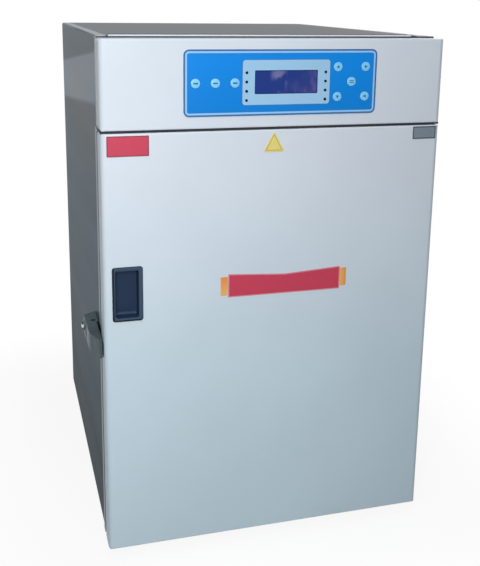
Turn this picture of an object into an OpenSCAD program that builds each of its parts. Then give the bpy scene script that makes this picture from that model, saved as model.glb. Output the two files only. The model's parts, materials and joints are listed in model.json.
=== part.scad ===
// Carbon dioxide incubator: a jacketed cabinet with a control header above a
// full-height door, a glass inner door, three slotted shelves and a fan duct.
// +Z is up, +X is to the right and the door faces -Y.
// The origin is under the middle of the whole object, on the floor.

/* [Front] */
// Height of the control header
header_h = 142; // [118:1:165]
// Depth of the door box and of the header box
front_t = 38; // [36:1:46]
// Gap that the door gasket fills in front of the cabinet
seal_gap = 12; // [11:0.5:16]
// Seam between the door and the header
seam = 4; // [3.8:0.2:8]
// Radius of the upright front edges
edge_r = 9; // [4:1:12]
// Radius of the corners of the door and header outlines
corner_r = 7; // [3:1:12]
// Radius of the folds along the top and bottom front edges
fold_r = 2.4; // [1.5:0.1:4]
// Sheet thickness of the door and the header
skin = 1.2; // [0.8:0.1:2]

/* [Cabinet] */
// Width of each side, from the chamber to the edge of the front
side_wall = 66.5; // [64:0.5:90]
// Depth of the service space between the insulation and the rear panel
plant_d = 60.8; // [56:0.2:90]
// How far the cabinet side lies inside the edge of the front
side_inset = 2; // [1:0.5:4]
// Thickness of the cabinet sheet
sheet = 1.5; // [1:0.1:2]
// Depth of the lip that the face frame folds back along the cabinet
frame_lip = 15; // [10:1:25]
// Height of the levelling feet
foot_h = 25; // [22:1:40]
// Radius of the foot pads
foot_r = 19; // [14:1:24]
// Distance from the cabinet side to the centre of a foot
foot_inset = 45; // [35:1:70]

/* [Chamber] */
// Inside width of the chamber
chamber_w = 440; // [370:1:540]
// Inside height of the chamber
chamber_h = 600; // [550:1:750]
// Inside depth of the chamber
chamber_d = 530; // [440:1:640]
// Height of the chamber floor above the bottom of the door
chamber_lift = 60; // [55:1:80]
// Height from the chamber ceiling to the top of the door
chamber_head = 54; // [50:0.5:70]
// Radius of the coved corners of the chamber
cove_r = 18; // [8:1:30]
// Thickness of the stainless lining
liner = 1.2; // [0.8:0.1:1.5]
// Insulation behind the chamber
rear_wall = 55; // [45:1:60]
// Insulation above the chamber
roof_wall = 50; // [44:1:60]

/* [Shelves] */
// Height of the lower shelf's rail above the chamber floor
rail_base = 100; // [80:1:115]
// Distance between neighbouring rails
rail_pitch = 70; // [60:1:72]
// Number of rails on each side
rail_count = 7; // [6:1:8]
// Thickness of a rack, from the wall to the tip of a rail
rack_t = 14; // [11:1:18]
// Play between a shelf and the racks on each side
shelf_play = 2; // [1:0.5:4]
// Height of the turned-down edge of a shelf
shelf_edge = 11; // [8:1:16]
// Length of a slot in a shelf
slot_l = 46; // [30:1:52]
// Width of a slot in a shelf
slot_w = 9; // [5:1:12]
// Height of the water pan
pan_h = 34; // [24:1:45]

/* [Air circulation] */
// Depth of the duct in front of the rear wall
duct_d = 42; // [38:1:60]
// Distance from the chamber's sides to the duct
duct_side = 30; // [20:1:40]
// Distance from the chamber's floor and ceiling to the duct
duct_end = 40; // [30:1:50]
// Outer radius of the fan wheel
wheel_r = 75; // [60:1:85]
// Depth of the fan wheel along its shaft
wheel_t = 24; // [18:1:28]
// Number of fan blades
blade_count = 24; // [12:1:30]
// Distance from the chamber ceiling to the fan shaft
fan_drop = 230; // [200:1:280]
// Radius of the fan shaft
shaft_r = 5; // [4:0.5:7]

/* [Control panel] */
// Width of the blue keypad overlay
panel_w = 322; // [316:1:340]
// Height of the blue keypad overlay
panel_h = 104; // [96:1:112]
// Corner radius of the overlay
panel_r = 9; // [3:1:14]
// Sideways offset of the overlay from the middle of the front
panel_shift = 3.75; // [-10:0.25:10]
// Width of the display window
lcd_w = 105.4; // [90:0.1:106]
// Height of the display window
lcd_h = 37.4; // [30:0.1:39]
// Radius of a key
key_r = 7.5; // [5:0.25:8.5]
// Travel of a key
key_travel = 0.5; // [0.3:0.1:0.9]
// Radius of an indicator lamp
lamp_r = 2.2; // [1.5:0.1:2.5]

/* [Outer door] */
// Distance from the door's right edge to its hinge axis
hinge_in = 14; // [12:0.5:18]
// Distance from the door's front face to its hinge axis
hinge_back = 20; // [18:0.5:22]
// Radius of the hinge pins
hinge_pin_r = 4; // [3:0.25:5]
// Thickness of the hinge brackets
bracket_t = 3; // [2:0.1:3.4]
// Depth of the pressed dish in the door lining
dish_d = 14; // [12:0.5:15]
// Width of the door gasket
gasket_w = 12; // [9:0.5:13]
// Distance from the door's edge to the gasket
gasket_in = 16.5; // [16:0.5:18]
// Width of the pull cup's rim
cup_w = 49.4; // [42:0.1:60]
// Height of the pull cup's rim
cup_h = 91; // [80:1:130]
// Distance from the door's left edge to the middle of the pull cup
cup_in = 38.5; // [36:0.5:50]
// Height of the pull cup's middle above the bottom of the door
cup_rise = 455.5; // [400:0.5:520]
// Depth of the pull cup's well
cup_d = 19; // [14:0.5:19.5]

/* [Glass door] */
// Thickness of the glass
glass_t = 5; // [4:0.5:5.5]
// Thickness of the soft seal behind the glass
glass_seal_t = 4; // [3:0.5:4.5]
// How far the glass overlaps the chamber mouth
glass_lap = 14; // [12:0.5:15]
// Radius of the latch knob
knob_r = 11; // [8:0.5:13]

/* [Side latch] */
// Height of the latch's underside above the bottom of the door
latch_rise = 343; // [300:1:400]
// Height of the latch
latch_h = 32; // [26:1:40]
// Distance from the front to the tip of the lever
latch_front = 18; // [12:1:24]
// Distance from the front to the pivot of the lever
latch_pivot = 109; // [100:1:120]
// Distance from the front to the rear end of the latch
latch_rear = 150; // [146:1:170]
// Thickness of the lever, outwards
lever_t = 17.5; // [14:0.5:20]
// Radius of the lever's pivot pin
latch_pin_r = 3; // [2:0.25:3.5]
// Radius of the lock barrel
barrel_r = 6; // [4:0.25:7]

/* [Fittings] */
// Inner radius of the access port
port_r = 21; // [15:0.5:25]
// Height of the access port above the chamber floor
port_rise = 430; // [380:1:440]
// Distance from the chamber's rear wall to the access port
port_forward = 230; // [180:1:260]
// Radius of the gas inlet tube
gas_r = 4; // [3:0.25:5]
// How far the gas inlet stands out behind the cabinet
gas_reach = 28; // [20:1:40]

/* [Hidden] */
$fn = 48;
// Clearances
slide_gap = 0.3;
fit_gap = 0.06;
hinge_gap = 0.5;
press_gap = 0.02;

// Overall sizes and places
front_w = chamber_w + 2 * side_wall;
front_h = chamber_lift + chamber_h + chamber_head + seam + header_h;
cabinet_d = chamber_d + liner + rear_wall + plant_d;
front_y = -(front_t + seal_gap + cabinet_d + gas_reach) / 2;
door_back_y = front_y + front_t;
face_y = door_back_y + seal_gap;
back_y = face_y + cabinet_d;
front_z = foot_h;
base_z = front_z - hinge_gap;
top_z = front_z + front_h;
door_h = front_h - header_h - seam;
door_top_z = front_z + door_h;
header_z = top_z - header_h;
half_w = front_w / 2;
cab_half = half_w - side_inset;
in_half = cab_half - sheet;

// Chamber places
floor_z = front_z + chamber_lift;
ceiling_z = floor_z + chamber_h;
mid_z = (floor_z + ceiling_z) / 2;
chamber_half = chamber_w / 2;
chamber_back_y = face_y + chamber_d;
frame_back_y = face_y + sheet;
foam_back_y = chamber_back_y + liner + rear_wall;
nut_h = 13;
foam_z = base_z + sheet + nut_h;
deck_z = ceiling_z + liner + roof_wall;
deck_top_z = deck_z + sheet;
rack_x = chamber_half - rack_t;
rail_z = [for (i = [0:rail_count - 1]) floor_z + rail_base + (i - 1) * rail_pitch];
shelf_half = rack_x + 6;
duct_y = chamber_back_y - duct_d;
shelf_front_y = face_y + 30;
shelf_back_y = duct_y - 10;

// Fan places
fan_z = ceiling_z - fan_drop;
fan_y = chamber_back_y - 8;
shaft_hole_r = shaft_r + 7;
motor_r = 44;
motor_l = 44;
motor_plate = 2;
motor_plate_w = 2 * motor_r + 28;
shaft_seat = 28;
heater_r = wheel_r + 17;
heater_wire = 4;

// Header places
panel_x = panel_shift;
panel_z = header_z + header_h / 2;
overlay_t = 0.8;
key_proud = 1.3;
switch_gap = 0.6;
key_stem_l = 6;
board_y = front_y + 12;
board_t = 1.6;
lcd_shift = 6.4;
lcd_x = panel_x + lcd_shift;
lcd_z = panel_z + 0.7;
lcd_rim = 5;
lamp_gap = 13.3;
lamp_x = [lcd_shift - lcd_w / 2 - lamp_gap, lcd_shift + lcd_w / 2 + lamp_gap];
lamp_top = 15.8;
lamp_pitch = 14.5;
key_edge = 19;
left_key_x = key_edge - panel_w / 2;
left_key_pitch = (lamp_x[0] - key_edge - left_key_x) / 2;
right_key_x = (lamp_x[1] + panel_w / 2) / 2 + 0.8;
right_key_dx = (panel_w / 2 - lamp_x[1]) / 2 - key_edge - 1.3;
right_key_dz = panel_h / 2 - key_edge - 9;
KEYS = [
  [left_key_x, 0],
  [left_key_x + left_key_pitch, 0],
  [left_key_x + 2 * left_key_pitch, 0],
  [right_key_x - right_key_dx, right_key_dz],
  [right_key_x + right_key_dx, right_key_dz],
  [right_key_x, 0],
  [right_key_x - right_key_dx, -right_key_dz],
  [right_key_x + right_key_dx, -right_key_dz]
];

// Outer door places
hinge_x = half_w - hinge_in;
hinge_y = front_y + hinge_back;
bush_r = hinge_pin_r + 3;
bush_l = 12;
gasket_half = half_w - gasket_in;
gasket_z0 = front_z + gasket_in;
gasket_z1 = door_top_z - gasket_in;
dish_border = 10;
dish_half = gasket_half - gasket_w - dish_border;
dish_z0 = gasket_z0 + gasket_w + dish_border;
dish_z1 = gasket_z1 - gasket_w - dish_border;
cup_x = -half_w + cup_in;
cup_z = front_z + cup_rise;
cup_wall = 2;
cup_rim = 5;
cup_proud = 1.8;
cup_r = 4;

// Glass door places
glass_half = chamber_half + glass_lap;
glass_z0 = floor_z - glass_lap;
glass_z1 = ceiling_z + glass_lap;
seal_back_y = face_y - slide_gap;
glass_back_y = seal_back_y - glass_seal_t;
glass_front_y = glass_back_y - glass_t;
glass_hinge_x = glass_half + 5;
glass_hinge_y = face_y - 5;
glass_hinge_r = 4;
glass_pin_r = 1.5;
glass_hinge_end = 80;
glass_hinge_z = [glass_z0 + glass_hinge_end, glass_z1 - glass_hinge_end];
knob_x = -chamber_half + 12;
knob_stem_r = 4;
tongue_t = 2.5;
tongue_l = 30;
tongue_w = 12;
keeper_wall = 2.2;
keeper_h = 18;

// Side latch places
latch_z = front_z + latch_rise;
latch_top_z = latch_z + latch_h;
latch_mid_z = latch_z + latch_h / 2;
lever_gap = 1.3;
strike_t = 0.8;
lever_in_x = -half_w - lever_gap;
lever_out_x = lever_in_x - lever_t;
pivot_x = -half_w - 8;
pivot_y = front_y + latch_pivot;
ear_r = 11.5;
ear_h = 6;
knuckle_r = 9;
latch_rear_y = front_y + latch_rear;
base_out_x = lever_out_x - 0.5;
barrel_y = pivot_y + ear_r + barrel_r + 3;
barrel_reach = 4.5;

// Fittings
port_y = chamber_back_y - port_forward;
port_z = floor_z + port_rise;
port_wall = 3;
port_flange = 3;
plug_grip = 21;
plug_l = 40;
port_rim = 10;
gas_in = 40;
gas_x = chamber_half - gas_in;
gas_rise = 45;
gas_z = deck_top_z + gas_rise;
gas_drop_y = shelf_back_y - 12;
probe_y = shelf_back_y - 12;
sensor_in = 100;
sensor_x = sensor_in - chamber_half;
sensor_head_r = 17;
sensor_head_h = 26;
sensor_cap_r = 12;
sensor_cap_h = 38;
probe_in = 130;
probe_x = chamber_half - probe_in;
probe_head = 18;
probe_r = 3;
probe_reach = 70;
inlet_in = 40;
inlet_x = inlet_in - chamber_half;
inlet_rise = 62;
inlet_z = deck_top_z + inlet_rise;
inlet_w = 50;
inlet_h = 62;
rocker_rise = 18;
rocker_z = inlet_z + rocker_rise;
socket_drop = 14;
socket_z = inlet_z - socket_drop;
rocker_w = 18;
rocker_tilt = 8;

// Block between two corners, given as [from, to] along each axis
module block(x, y, z) {
  translate([x[0], y[0], z[0]]) cube([x[1] - x[0], y[1] - y[0], z[1] - z[0]]);
}

// Outline of a rectangle with round corners, centred
module rounded(w, h, r) {
  square([w - 2 * r, h], center = true);
  square([w, h - 2 * r], center = true);
  for (x = [-1, 1], y = [-1, 1]) translate([x * (w / 2 - r), y * (h / 2 - r)]) circle(r = r);
}

// Round-ended slot outline, lying along X
module slot_shape(l, w) {
  square([l - w, w], center = true);
  for (s = [-1, 1]) translate([s * (l - w) / 2, 0]) circle(r = w / 2, $fn = 24);
}

// An outline drawn in X and Z, made solid from y[0] back to y[1]
module upright(y) {
  translate([0, y[1], 0]) rotate([90, 0, 0]) linear_extrude(height = y[1] - y[0]) children();
}

// An outline drawn in Y and Z, made solid from x[0] to x[1]
module sideways(x) {
  translate([x[0], 0, 0]) rotate([90, 0, 90]) linear_extrude(height = x[1] - x[0]) children();
}

// An outline drawn in X and Y, made solid from z[0] up to z[1]
module level(z) {
  translate([0, 0, z[0]]) linear_extrude(height = z[1] - z[0]) children();
}

module rod_x(x, y, z, r) {
  translate([x[0], y, z]) rotate([0, 90, 0]) cylinder(h = x[1] - x[0], r = r);
}

module rod_y(x, y, z, r) {
  translate([x, y[1], z]) rotate([90, 0, 0]) cylinder(h = y[1] - y[0], r = r);
}

module rod_z(x, y, z, r) {
  translate([x, y, z[0]]) cylinder(h = z[1] - z[0], r = r);
}

// Plan outline of a front box: round at its two front edges, square behind
module front_plan(half, y0, y1, r) {
  translate([-half, y0 + r]) square([2 * half, y1 - y0 - r]);
  translate([-half + r, y0]) square([2 * (half - r), r + 1]);
  for (s = [-1, 1]) translate([s * (half - r), y0 + r]) circle(r = r);
}

// Side outline of a front box: folded round at its top and bottom front edges
module front_profile(y, z, r) {
  translate([y[0] + r, z[0]]) square([y[1] - y[0] - r, z[1] - z[0]]);
  translate([y[0], z[0] + r]) square([r + 1, z[1] - z[0] - 2 * r]);
  for (fold_z = [z[0] + r, z[1] - r]) translate([y[0] + r, fold_z]) circle(r = r);
}

// Solid box of the door or header, set in from its outer faces by inset:
// round upright edges, round outline corners and folded front edges
module front_box(y, z, inset) {
  half = half_w - inset;
  edge = max(edge_r - inset, 1);
  corner = max(corner_r - inset, 1);
  fold = max(fold_r - inset, 0.3);
  intersection() {
    level(z) front_plan(half, y[0], y[1], edge);
    translate([0, 0, (z[0] + z[1]) / 2]) upright(y) rounded(2 * half, z[1] - z[0], corner);
    sideways([-half - 1, half + 1]) front_profile(y, z, fold);
  }
}

// Cabinet shell

module wrap_outline(inset, low) {
  half = cab_half - inset;
  bend = 4 - min(inset, 3);
  high = top_z - inset;
  translate([-half, low]) square([2 * half, high - bend - low]);
  translate([-half + bend, low]) square([2 * (half - bend), high - low]);
  for (s = [-1, 1]) translate([s * (half - bend), high - bend]) circle(r = bend);
}

// Sides and top, bent from one sheet, with a return flange at the rear
module cabinet_wrap() {
  color("silver") difference() {
    union() {
      upright([face_y + frame_lip, back_y]) difference() {
        wrap_outline(0, base_z);
        wrap_outline(sheet, base_z - 1);
      }
      upright([back_y - 2 * sheet, back_y - sheet]) difference() {
        wrap_outline(sheet / 2, base_z);
        wrap_outline(14, base_z - 1);
      }
    }
    rod_x([0, cab_half + 1], port_y, port_z, port_r + port_wall);
  }
}

foot_y = [face_y + foot_inset, back_y - foot_inset - 10];
foot_x = [-cab_half + foot_inset, cab_half - foot_inset];
stem_r = 5;

// Pressed floor with turned-up edges and a weld nut over each foot
module base_pan() {
  y = [frame_back_y + frame_lip, back_y - 2 * sheet];
  color("gray") difference() {
    union() {
      block([-in_half, in_half], y, [base_z, base_z + sheet]);
      difference() {
        block([-in_half, in_half], y, [base_z, foam_z]);
        block([sheet - in_half, in_half - sheet], [y[0] + sheet, y[1] - sheet], [base_z - 1, foam_z + 1]);
      }
      for (x = foot_x, fy = foot_y) rod_z(x, fy, [base_z + sheet / 2, foam_z], 12);
    }
    for (x = foot_x, fy = foot_y) rod_z(x, fy, [base_z - 1, foam_z + 1], stem_r + press_gap);
  }
}

// Four feet: a rubber pad, a lock nut and a threaded stem each
module levelling_feet() {
  nut_low = foot_h / 2;
  color("dimgray") for (x = foot_x, y = foot_y) translate([x, y, 0]) {
    rotate_extrude() {
      square([foot_r - 2, 9]);
      translate([0, 2]) square([foot_r, 5]);
      translate([foot_r - 2, 2]) circle(r = 2, $fn = 24);
      translate([foot_r - 2, 7]) circle(r = 2, $fn = 24);
      square([foot_r - 7, 11]);
    }
    cylinder(h = foam_z - 1, r = stem_r);
    translate([0, 0, nut_low]) cylinder(h = 5, r = 9, $fn = 6);
  }
}

louvre_w = 90;
louvre_r = 7;
louvre_pitch = 22;

// Hooded slot that sheds water: a quarter tube open at its lower side
module louvre_hood() {
  sideways([-louvre_w / 2, louvre_w / 2]) intersection() {
    difference() {
      circle(r = louvre_r);
      circle(r = louvre_r - sheet);
    }
    translate([-0.1, -0.1]) square([louvre_r + 1, louvre_r + 1]);
  }
  for (s = [0, 1]) translate([s * (louvre_w - sheet) - louvre_w / 2, 0, 0]) sideways([0, sheet])
    intersection() {
      circle(r = louvre_r);
      translate([-0.1, -0.1]) square([louvre_r + 1, louvre_r + 1]);
    }
}

louvre_step = 110;
louvre_x = [inlet_x + louvre_w, inlet_x + louvre_w + louvre_step];
louvre_drop = 50;
louvre_top = top_z - louvre_drop;
motor_louvre_top = fan_z + motor_r + louvre_pitch;

// Rear cover with two banks of louvres and the service cut-outs
module rear_panel() {
  y = [back_y - sheet, back_y];
  rows = [for (i = [0:3]) louvre_top - i * louvre_pitch];
  low_rows = [for (i = [0:5]) motor_louvre_top - i * louvre_pitch];
  spots = concat([for (x = louvre_x, z = rows) [x, z]], [for (z = low_rows) [0, z]]);
  color("lightgray") {
    difference() {
      upright(y) wrap_outline(sheet + hinge_gap, base_z + 1);
      for (p = spots) block([p[0] - louvre_w / 2 + 3, p[0] + louvre_w / 2 - 3], [y[0] - 1, y[1] + 1],
        [p[1] - 1, p[1] + 4]);
      rod_y(gas_x, [y[0] - 1, y[1] + 1], gas_z, gas_r + 3);
      translate([inlet_x, 0, inlet_z]) upright([y[0] - 1, y[1] + 1])
        square([inlet_w - 6, inlet_h - 6], center = true);
    }
    for (p = spots) translate([p[0], y[1] - 0.2, p[1]]) louvre_hood();
  }
}

header_hole_in = 30;
corner_y = [door_back_y + slide_gap, face_y + sheet / 2];
corner_z = [header_z + 8, top_z - 0.4];

// Stainless face frame round the chamber mouth, folded back along the cabinet,
// with a block at each end of the header's neck
module front_frame() {
  color("lightsteelblue") difference() {
    union() {
      upright([face_y, frame_back_y]) wrap_outline(0, base_z);
      upright([face_y, face_y + frame_lip]) difference() {
        wrap_outline(0, base_z);
        wrap_outline(sheet, base_z + sheet);
      }
      block([-cab_half, neck_x[0] - slide_gap], corner_y, corner_z);
      block([neck_x[1] + slide_gap, cab_half], corner_y, corner_z);
    }
    translate([0, 0, mid_z]) upright([face_y - 1, frame_back_y + 1]) rounded(chamber_w, chamber_h, cove_r);
    block([header_hole_in - cab_half, cab_half - header_hole_in], [face_y - 1, frame_back_y + 1],
      [header_z + 14, top_z - 14]);
  }
}

// Foam that fills the walls, with a pocket for the chamber
module foam_shell() {
  color("khaki") difference() {
    block([-in_half, in_half], [frame_back_y + frame_lip, foam_back_y], [foam_z, deck_z]);
    translate([0, 0, mid_z]) upright([face_y, chamber_back_y + liner])
      rounded(chamber_w + 2 * liner, chamber_h + 2 * liner, cove_r + liner);
    rod_y(0, [chamber_back_y, foam_back_y + 1], fan_z, shaft_hole_r);
    rod_x([0, in_half + 1], port_y, port_z, port_r + port_wall);
    rod_z(sensor_x, probe_y, [ceiling_z, deck_z + 1], 11);
    rod_z(probe_x, probe_y, [ceiling_z, deck_z + 1], 5);
    rod_z(gas_x, gas_drop_y, [ceiling_z, deck_z + 1], 4);
  }
}

// Chamber

// Seamless lining with coved corners
module inner_chamber() {
  color("gainsboro") difference() {
    union() {
      translate([0, 0, mid_z]) upright([frame_back_y, chamber_back_y + liner]) difference() {
        rounded(chamber_w + 2 * liner, chamber_h + 2 * liner, cove_r + liner);
        rounded(chamber_w, chamber_h, cove_r);
      }
      translate([0, 0, mid_z]) upright([chamber_back_y, chamber_back_y + liner])
        rounded(chamber_w + liner, chamber_h + liner, cove_r);
    }
    rod_y(0, [chamber_back_y - 1, chamber_back_y + liner + 1], fan_z, shaft_hole_r);
    rod_x([chamber_half - 1, chamber_half + liner + 1], port_y, port_z, port_r + port_wall);
    rod_z(sensor_x, probe_y, [ceiling_z - 1, ceiling_z + liner + 1], 11);
    rod_z(probe_x, probe_y, [ceiling_z - 1, ceiling_z + liner + 1], 5);
    rod_z(gas_x, gas_drop_y, [ceiling_z - 1, ceiling_z + liner + 1], 4);
  }
}

rack_y = [shelf_front_y + 40, shelf_back_y - 60];
strut_w = 18;
rail_t = 1.5;
rail_leg = 9;
hook_l = 4;
strut_low = 2 * cove_r;

// One side's rack: two uprights hung on wall studs, and the rails between them
module one_rack() {
  low = min(strut_low, rail_base - rail_pitch - 12);
  leg_x = [chamber_half - hook_l - rail_t, chamber_half - hook_l];
  rail_y = [shelf_front_y + 4, shelf_back_y - 4];
  for (y = rack_y) {
    block(leg_x, [y - strut_w / 2, y + strut_w / 2], [floor_z + low, rail_z[rail_count - 1] + 16]);
    for (z = [rail_z[0] + 25, rail_z[rail_count - 2] + 25])
      rod_x([leg_x[0] + rail_t / 2, chamber_half], y, z, 4);
  }
  for (z = rail_z) {
    block([rack_x, leg_x[0] + rail_t / 2], rail_y, [z - rail_t, z]);
    block(leg_x, rail_y, [z - rail_t, z + rail_leg]);
  }
}

module shelf_racks() {
  color("lightgray") {
    one_rack();
    mirror([1, 0, 0]) one_rack();
  }
}

shelf_t = 1.5;
slot_columns = 6;
slot_margin = 26;
slot_pitch_y = 34;

// Slotted shelf that rests on a pair of rails, with its edges turned down between them
module shelf(z) {
  half = chamber_half - hook_l - rail_t - shelf_play;
  skirt = rack_x - shelf_play;
  slot_pitch_x = (2 * skirt - slot_l - 2 * slot_margin) / (slot_columns - 1);
  depth = shelf_back_y - shelf_front_y;
  mid_y = (shelf_front_y + shelf_back_y) / 2;
  rows = floor((depth - 50) / slot_pitch_y);
  y = [shelf_front_y + 7, shelf_back_y - 7];
  edge_z = [z + shelf_t / 2 - shelf_edge, z + shelf_t / 2];
  color("whitesmoke") difference() {
    union() {
      level([z, z + shelf_t]) translate([0, mid_y]) rounded(2 * half, depth, 6);
      for (s = [-1, 1]) block([s * skirt - shelf_t / 2, s * skirt + shelf_t / 2], y, edge_z);
      block([-skirt, skirt], [y[0], y[0] + shelf_t], edge_z);
      block([-skirt, skirt], [y[1] - shelf_t, y[1]], edge_z);
    }
    level([z - 1, z + shelf_t + 1]) for (i = [0:slot_columns - 1], j = [0:rows - 1])
      translate([(i - (slot_columns - 1) / 2) * slot_pitch_x, mid_y + (j - (rows - 1) / 2) * slot_pitch_y])
        slot_shape(slot_l, slot_w);
  }
}

module shelf_upper() { shelf(rail_z[5]); }
module shelf_middle() { shelf(rail_z[3]); }
module shelf_lower() { shelf(rail_z[1]); }

pan_wall = 1.2;
pan_half = chamber_half - cove_r - 4;
pan_y = [shelf_front_y + 20, shelf_back_y - 20];

// Water pan on the chamber floor, with a rolled rim
module humidity_pan() {
  w = 2 * pan_half;
  d = pan_y[1] - pan_y[0];
  color("silver") translate([0, (pan_y[0] + pan_y[1]) / 2, floor_z]) {
    linear_extrude(height = pan_wall) rounded(w - 12, d - 12, 14);
    linear_extrude(height = pan_h) difference() {
      rounded(w - 12, d - 12, 14);
      rounded(w - 12 - 2 * pan_wall, d - 12 - 2 * pan_wall, 14 - pan_wall);
    }
    translate([0, 0, pan_h - pan_wall]) linear_extrude(height = pan_wall) difference() {
      rounded(w, d, 20);
      rounded(w - 12 - 2 * pan_wall, d - 12 - 2 * pan_wall, 14 - pan_wall);
    }
  }
}

// Air circulation

duct_w = chamber_w - 2 * duct_side;
duct_h = chamber_h - 2 * duct_end;
duct_r = 12;
grille_hole_r = 4.5;
grille_pitch = 15;
outlet_slots = 9;
outlet_l = 38;
outlet_in = 28;
outlet_pitch = (duct_h - outlet_l - 50) / (outlet_slots - 1);

// Duct cover over the fan: a round intake grille and two columns of outlet slots
module air_duct() {
  cut_y = [duct_y - 1, duct_y + liner + 1];
  color("lightgray") difference() {
    translate([0, 0, mid_z]) {
      upright([duct_y, duct_y + liner]) rounded(duct_w, duct_h, duct_r);
      upright([duct_y, chamber_back_y]) difference() {
        rounded(duct_w, duct_h, duct_r);
        rounded(duct_w - 2 * liner, duct_h - 2 * liner, duct_r - liner);
      }
    }
    translate([0, 0, fan_z]) upright(cut_y) {
      circle(r = grille_hole_r);
      for (ring = [1:3], i = [0:6 * ring - 1]) rotate(i * 60 / ring) translate([ring * grille_pitch, 0])
        circle(r = grille_hole_r, $fn = 24);
    }
    translate([0, 0, mid_z]) upright(cut_y) for (s = [-1, 1], i = [0:outlet_slots - 1])
      translate([s * (duct_w / 2 - outlet_in), (i - (outlet_slots - 1) / 2) * outlet_pitch]) rotate(90)
        slot_shape(outlet_l, 9);
  }
}

// Sheathed ring heater round the fan wheel, on three clips
module heater_ring() {
  y = (duct_y + liner + chamber_back_y) / 2;
  color("dimgray") translate([0, y, fan_z]) rotate([90, 0, 0]) {
    rotate_extrude() translate([heater_r, 0]) circle(r = heater_wire, $fn = 24);
    for (a = [90, 210, 330]) rotate(a) translate([heater_r - 5, -6, -(chamber_back_y - y)])
      cube([10, 12, chamber_back_y - y - heater_wire / 2]);
  }
}

// Motor on its plate behind the foam
module fan_motor() {
  y0 = foam_back_y;
  color("dimgray") difference() {
    union() {
      translate([0, 0, fan_z]) upright([y0, y0 + motor_plate]) rounded(motor_plate_w, motor_plate_w, 10);
      rod_y(0, [y0, y0 + motor_l], fan_z, motor_r);
      for (i = [0:3]) rod_y(0, [y0 + 9 + i * 9, y0 + 13 + i * 9], fan_z, motor_r + 3);
    }
    rod_y(0, [y0 - 1, y0 + shaft_seat + 1], fan_z, shaft_r + fit_gap);
  }
}

blade_r = 10;
blade_t = 1.4;
hub_r = 14;

// One curved blade of the fan wheel, seen along the shaft
module blade_shape() {
  translate([wheel_r - blade_r - 1, 0]) intersection() {
    difference() {
      circle(r = blade_r, $fn = 32);
      circle(r = blade_r - blade_t, $fn = 32);
    }
    rotate(15) square([blade_r + 2, blade_r + 2]);
  }
}

// Drum fan: back disc, hub, curved blades, front ring and shaft
module fan_wheel() {
  shaft_end = foam_back_y + shaft_seat;
  color("silver") {
    translate([0, 0, fan_z]) {
      upright([fan_y - 2, fan_y]) circle(r = wheel_r);
      upright([fan_y - wheel_t + 1, fan_y - 1]) for (i = [0:blade_count - 1])
        rotate(i * 360 / blade_count) blade_shape();
      upright([fan_y - wheel_t, fan_y - wheel_t + 2]) difference() {
        circle(r = wheel_r);
        circle(r = wheel_r - 13);
      }
    }
    rod_y(0, [fan_y - 14, fan_y], fan_z, hub_r);
    rod_y(0, [fan_y - 18, shaft_end], fan_z, shaft_r);
  }
}

// Gas sensor: a vented cap in the chamber, a stem through the roof and a head on the deck
module co2_sensor() {
  color("whitesmoke") difference() {
    union() {
      rod_z(sensor_x, probe_y, [ceiling_z - sensor_cap_h, ceiling_z - 3], sensor_cap_r);
      rod_z(sensor_x, probe_y, [ceiling_z - 3, ceiling_z], sensor_cap_r + 3);
      rod_z(sensor_x, probe_y, [ceiling_z - 4, deck_top_z + 4], 11 - press_gap);
      rod_z(sensor_x, probe_y, [deck_top_z, deck_top_z + sensor_head_h], sensor_head_r);
    }
    for (a = [0:60:300]) translate([sensor_x, probe_y, 0]) rotate(a)
      block([sensor_cap_r / 2, sensor_cap_r + 2], [-1.5, 1.5],
        [ceiling_z - sensor_cap_h + 8, ceiling_z - 10]);
  }
}

// Thin sheathed probe with its head on the deck
module temperature_probe() {
  color("silver") {
    rod_z(probe_x, probe_y, [ceiling_z - probe_reach, ceiling_z - probe_r / 2], probe_r);
    rod_z(probe_x, probe_y, [ceiling_z - probe_r, ceiling_z], probe_r + 5);
    rod_z(probe_x, probe_y, [ceiling_z - probe_r, deck_top_z + probe_r / 2], 5 - press_gap);
    rod_z(probe_x, probe_y, [deck_top_z, deck_top_z + probe_head], probe_head / 2);
  }
}

// Flanged tube through the right wall
module port_sleeve() {
  x = [chamber_half, cab_half + port_flange];
  color("whitesmoke") difference() {
    union() {
      rod_x(x, port_y, port_z, port_r + port_wall - press_gap);
      rod_x([cab_half, x[1]], port_y, port_z, port_r + port_wall + port_rim);
    }
    rod_x([x[0] - 1, x[1] + 1], port_y, port_z, port_r);
  }
}

// Soft stopper with a ribbed grip
module port_plug() {
  x0 = cab_half + port_flange + slide_gap;
  color("slategray") {
    translate([x0 - plug_l, port_y, port_z]) rotate([0, 90, 0])
      cylinder(h = plug_l + 1, r1 = port_r - 2, r2 = port_r - slide_gap);
    rod_x([x0, x0 + plug_grip], port_y, port_z, port_r + 4);
    rod_x([x0, x0 + 4], port_y, port_z, port_r + 9);
    for (i = [0:11]) translate([x0 + 3, port_y, port_z]) rotate([i * 30, 0, 0])
      translate([0, port_r + 2, -2]) cube([plug_grip - 6, 5, 4]);
  }
}

// Electronics

// Tray above the foam that carries the electronics
module electronics_deck() {
  lip = 20;
  y = [frame_back_y + frame_lip, back_y - 2 * sheet - 1];
  color("lightgray") difference() {
    union() {
      block([-in_half, in_half], y, [deck_z, deck_top_z]);
      block([-in_half, in_half], [y[0], y[0] + sheet], [deck_z, deck_z + lip]);
    }
    rod_z(sensor_x, probe_y, [deck_z - 1, deck_top_z + 1], 11);
    rod_z(probe_x, probe_y, [deck_z - 1, deck_top_z + 1], 5);
    rod_z(gas_x, gas_drop_y, [deck_z - 1, deck_top_z + 1], 4);
  }
}

board_half_w = panel_w / 2 - 3;
board_half_h = panel_h / 2 - 6;
relay = [30, 17, 20];
supply_chip = [50, 13, 45];

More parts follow.
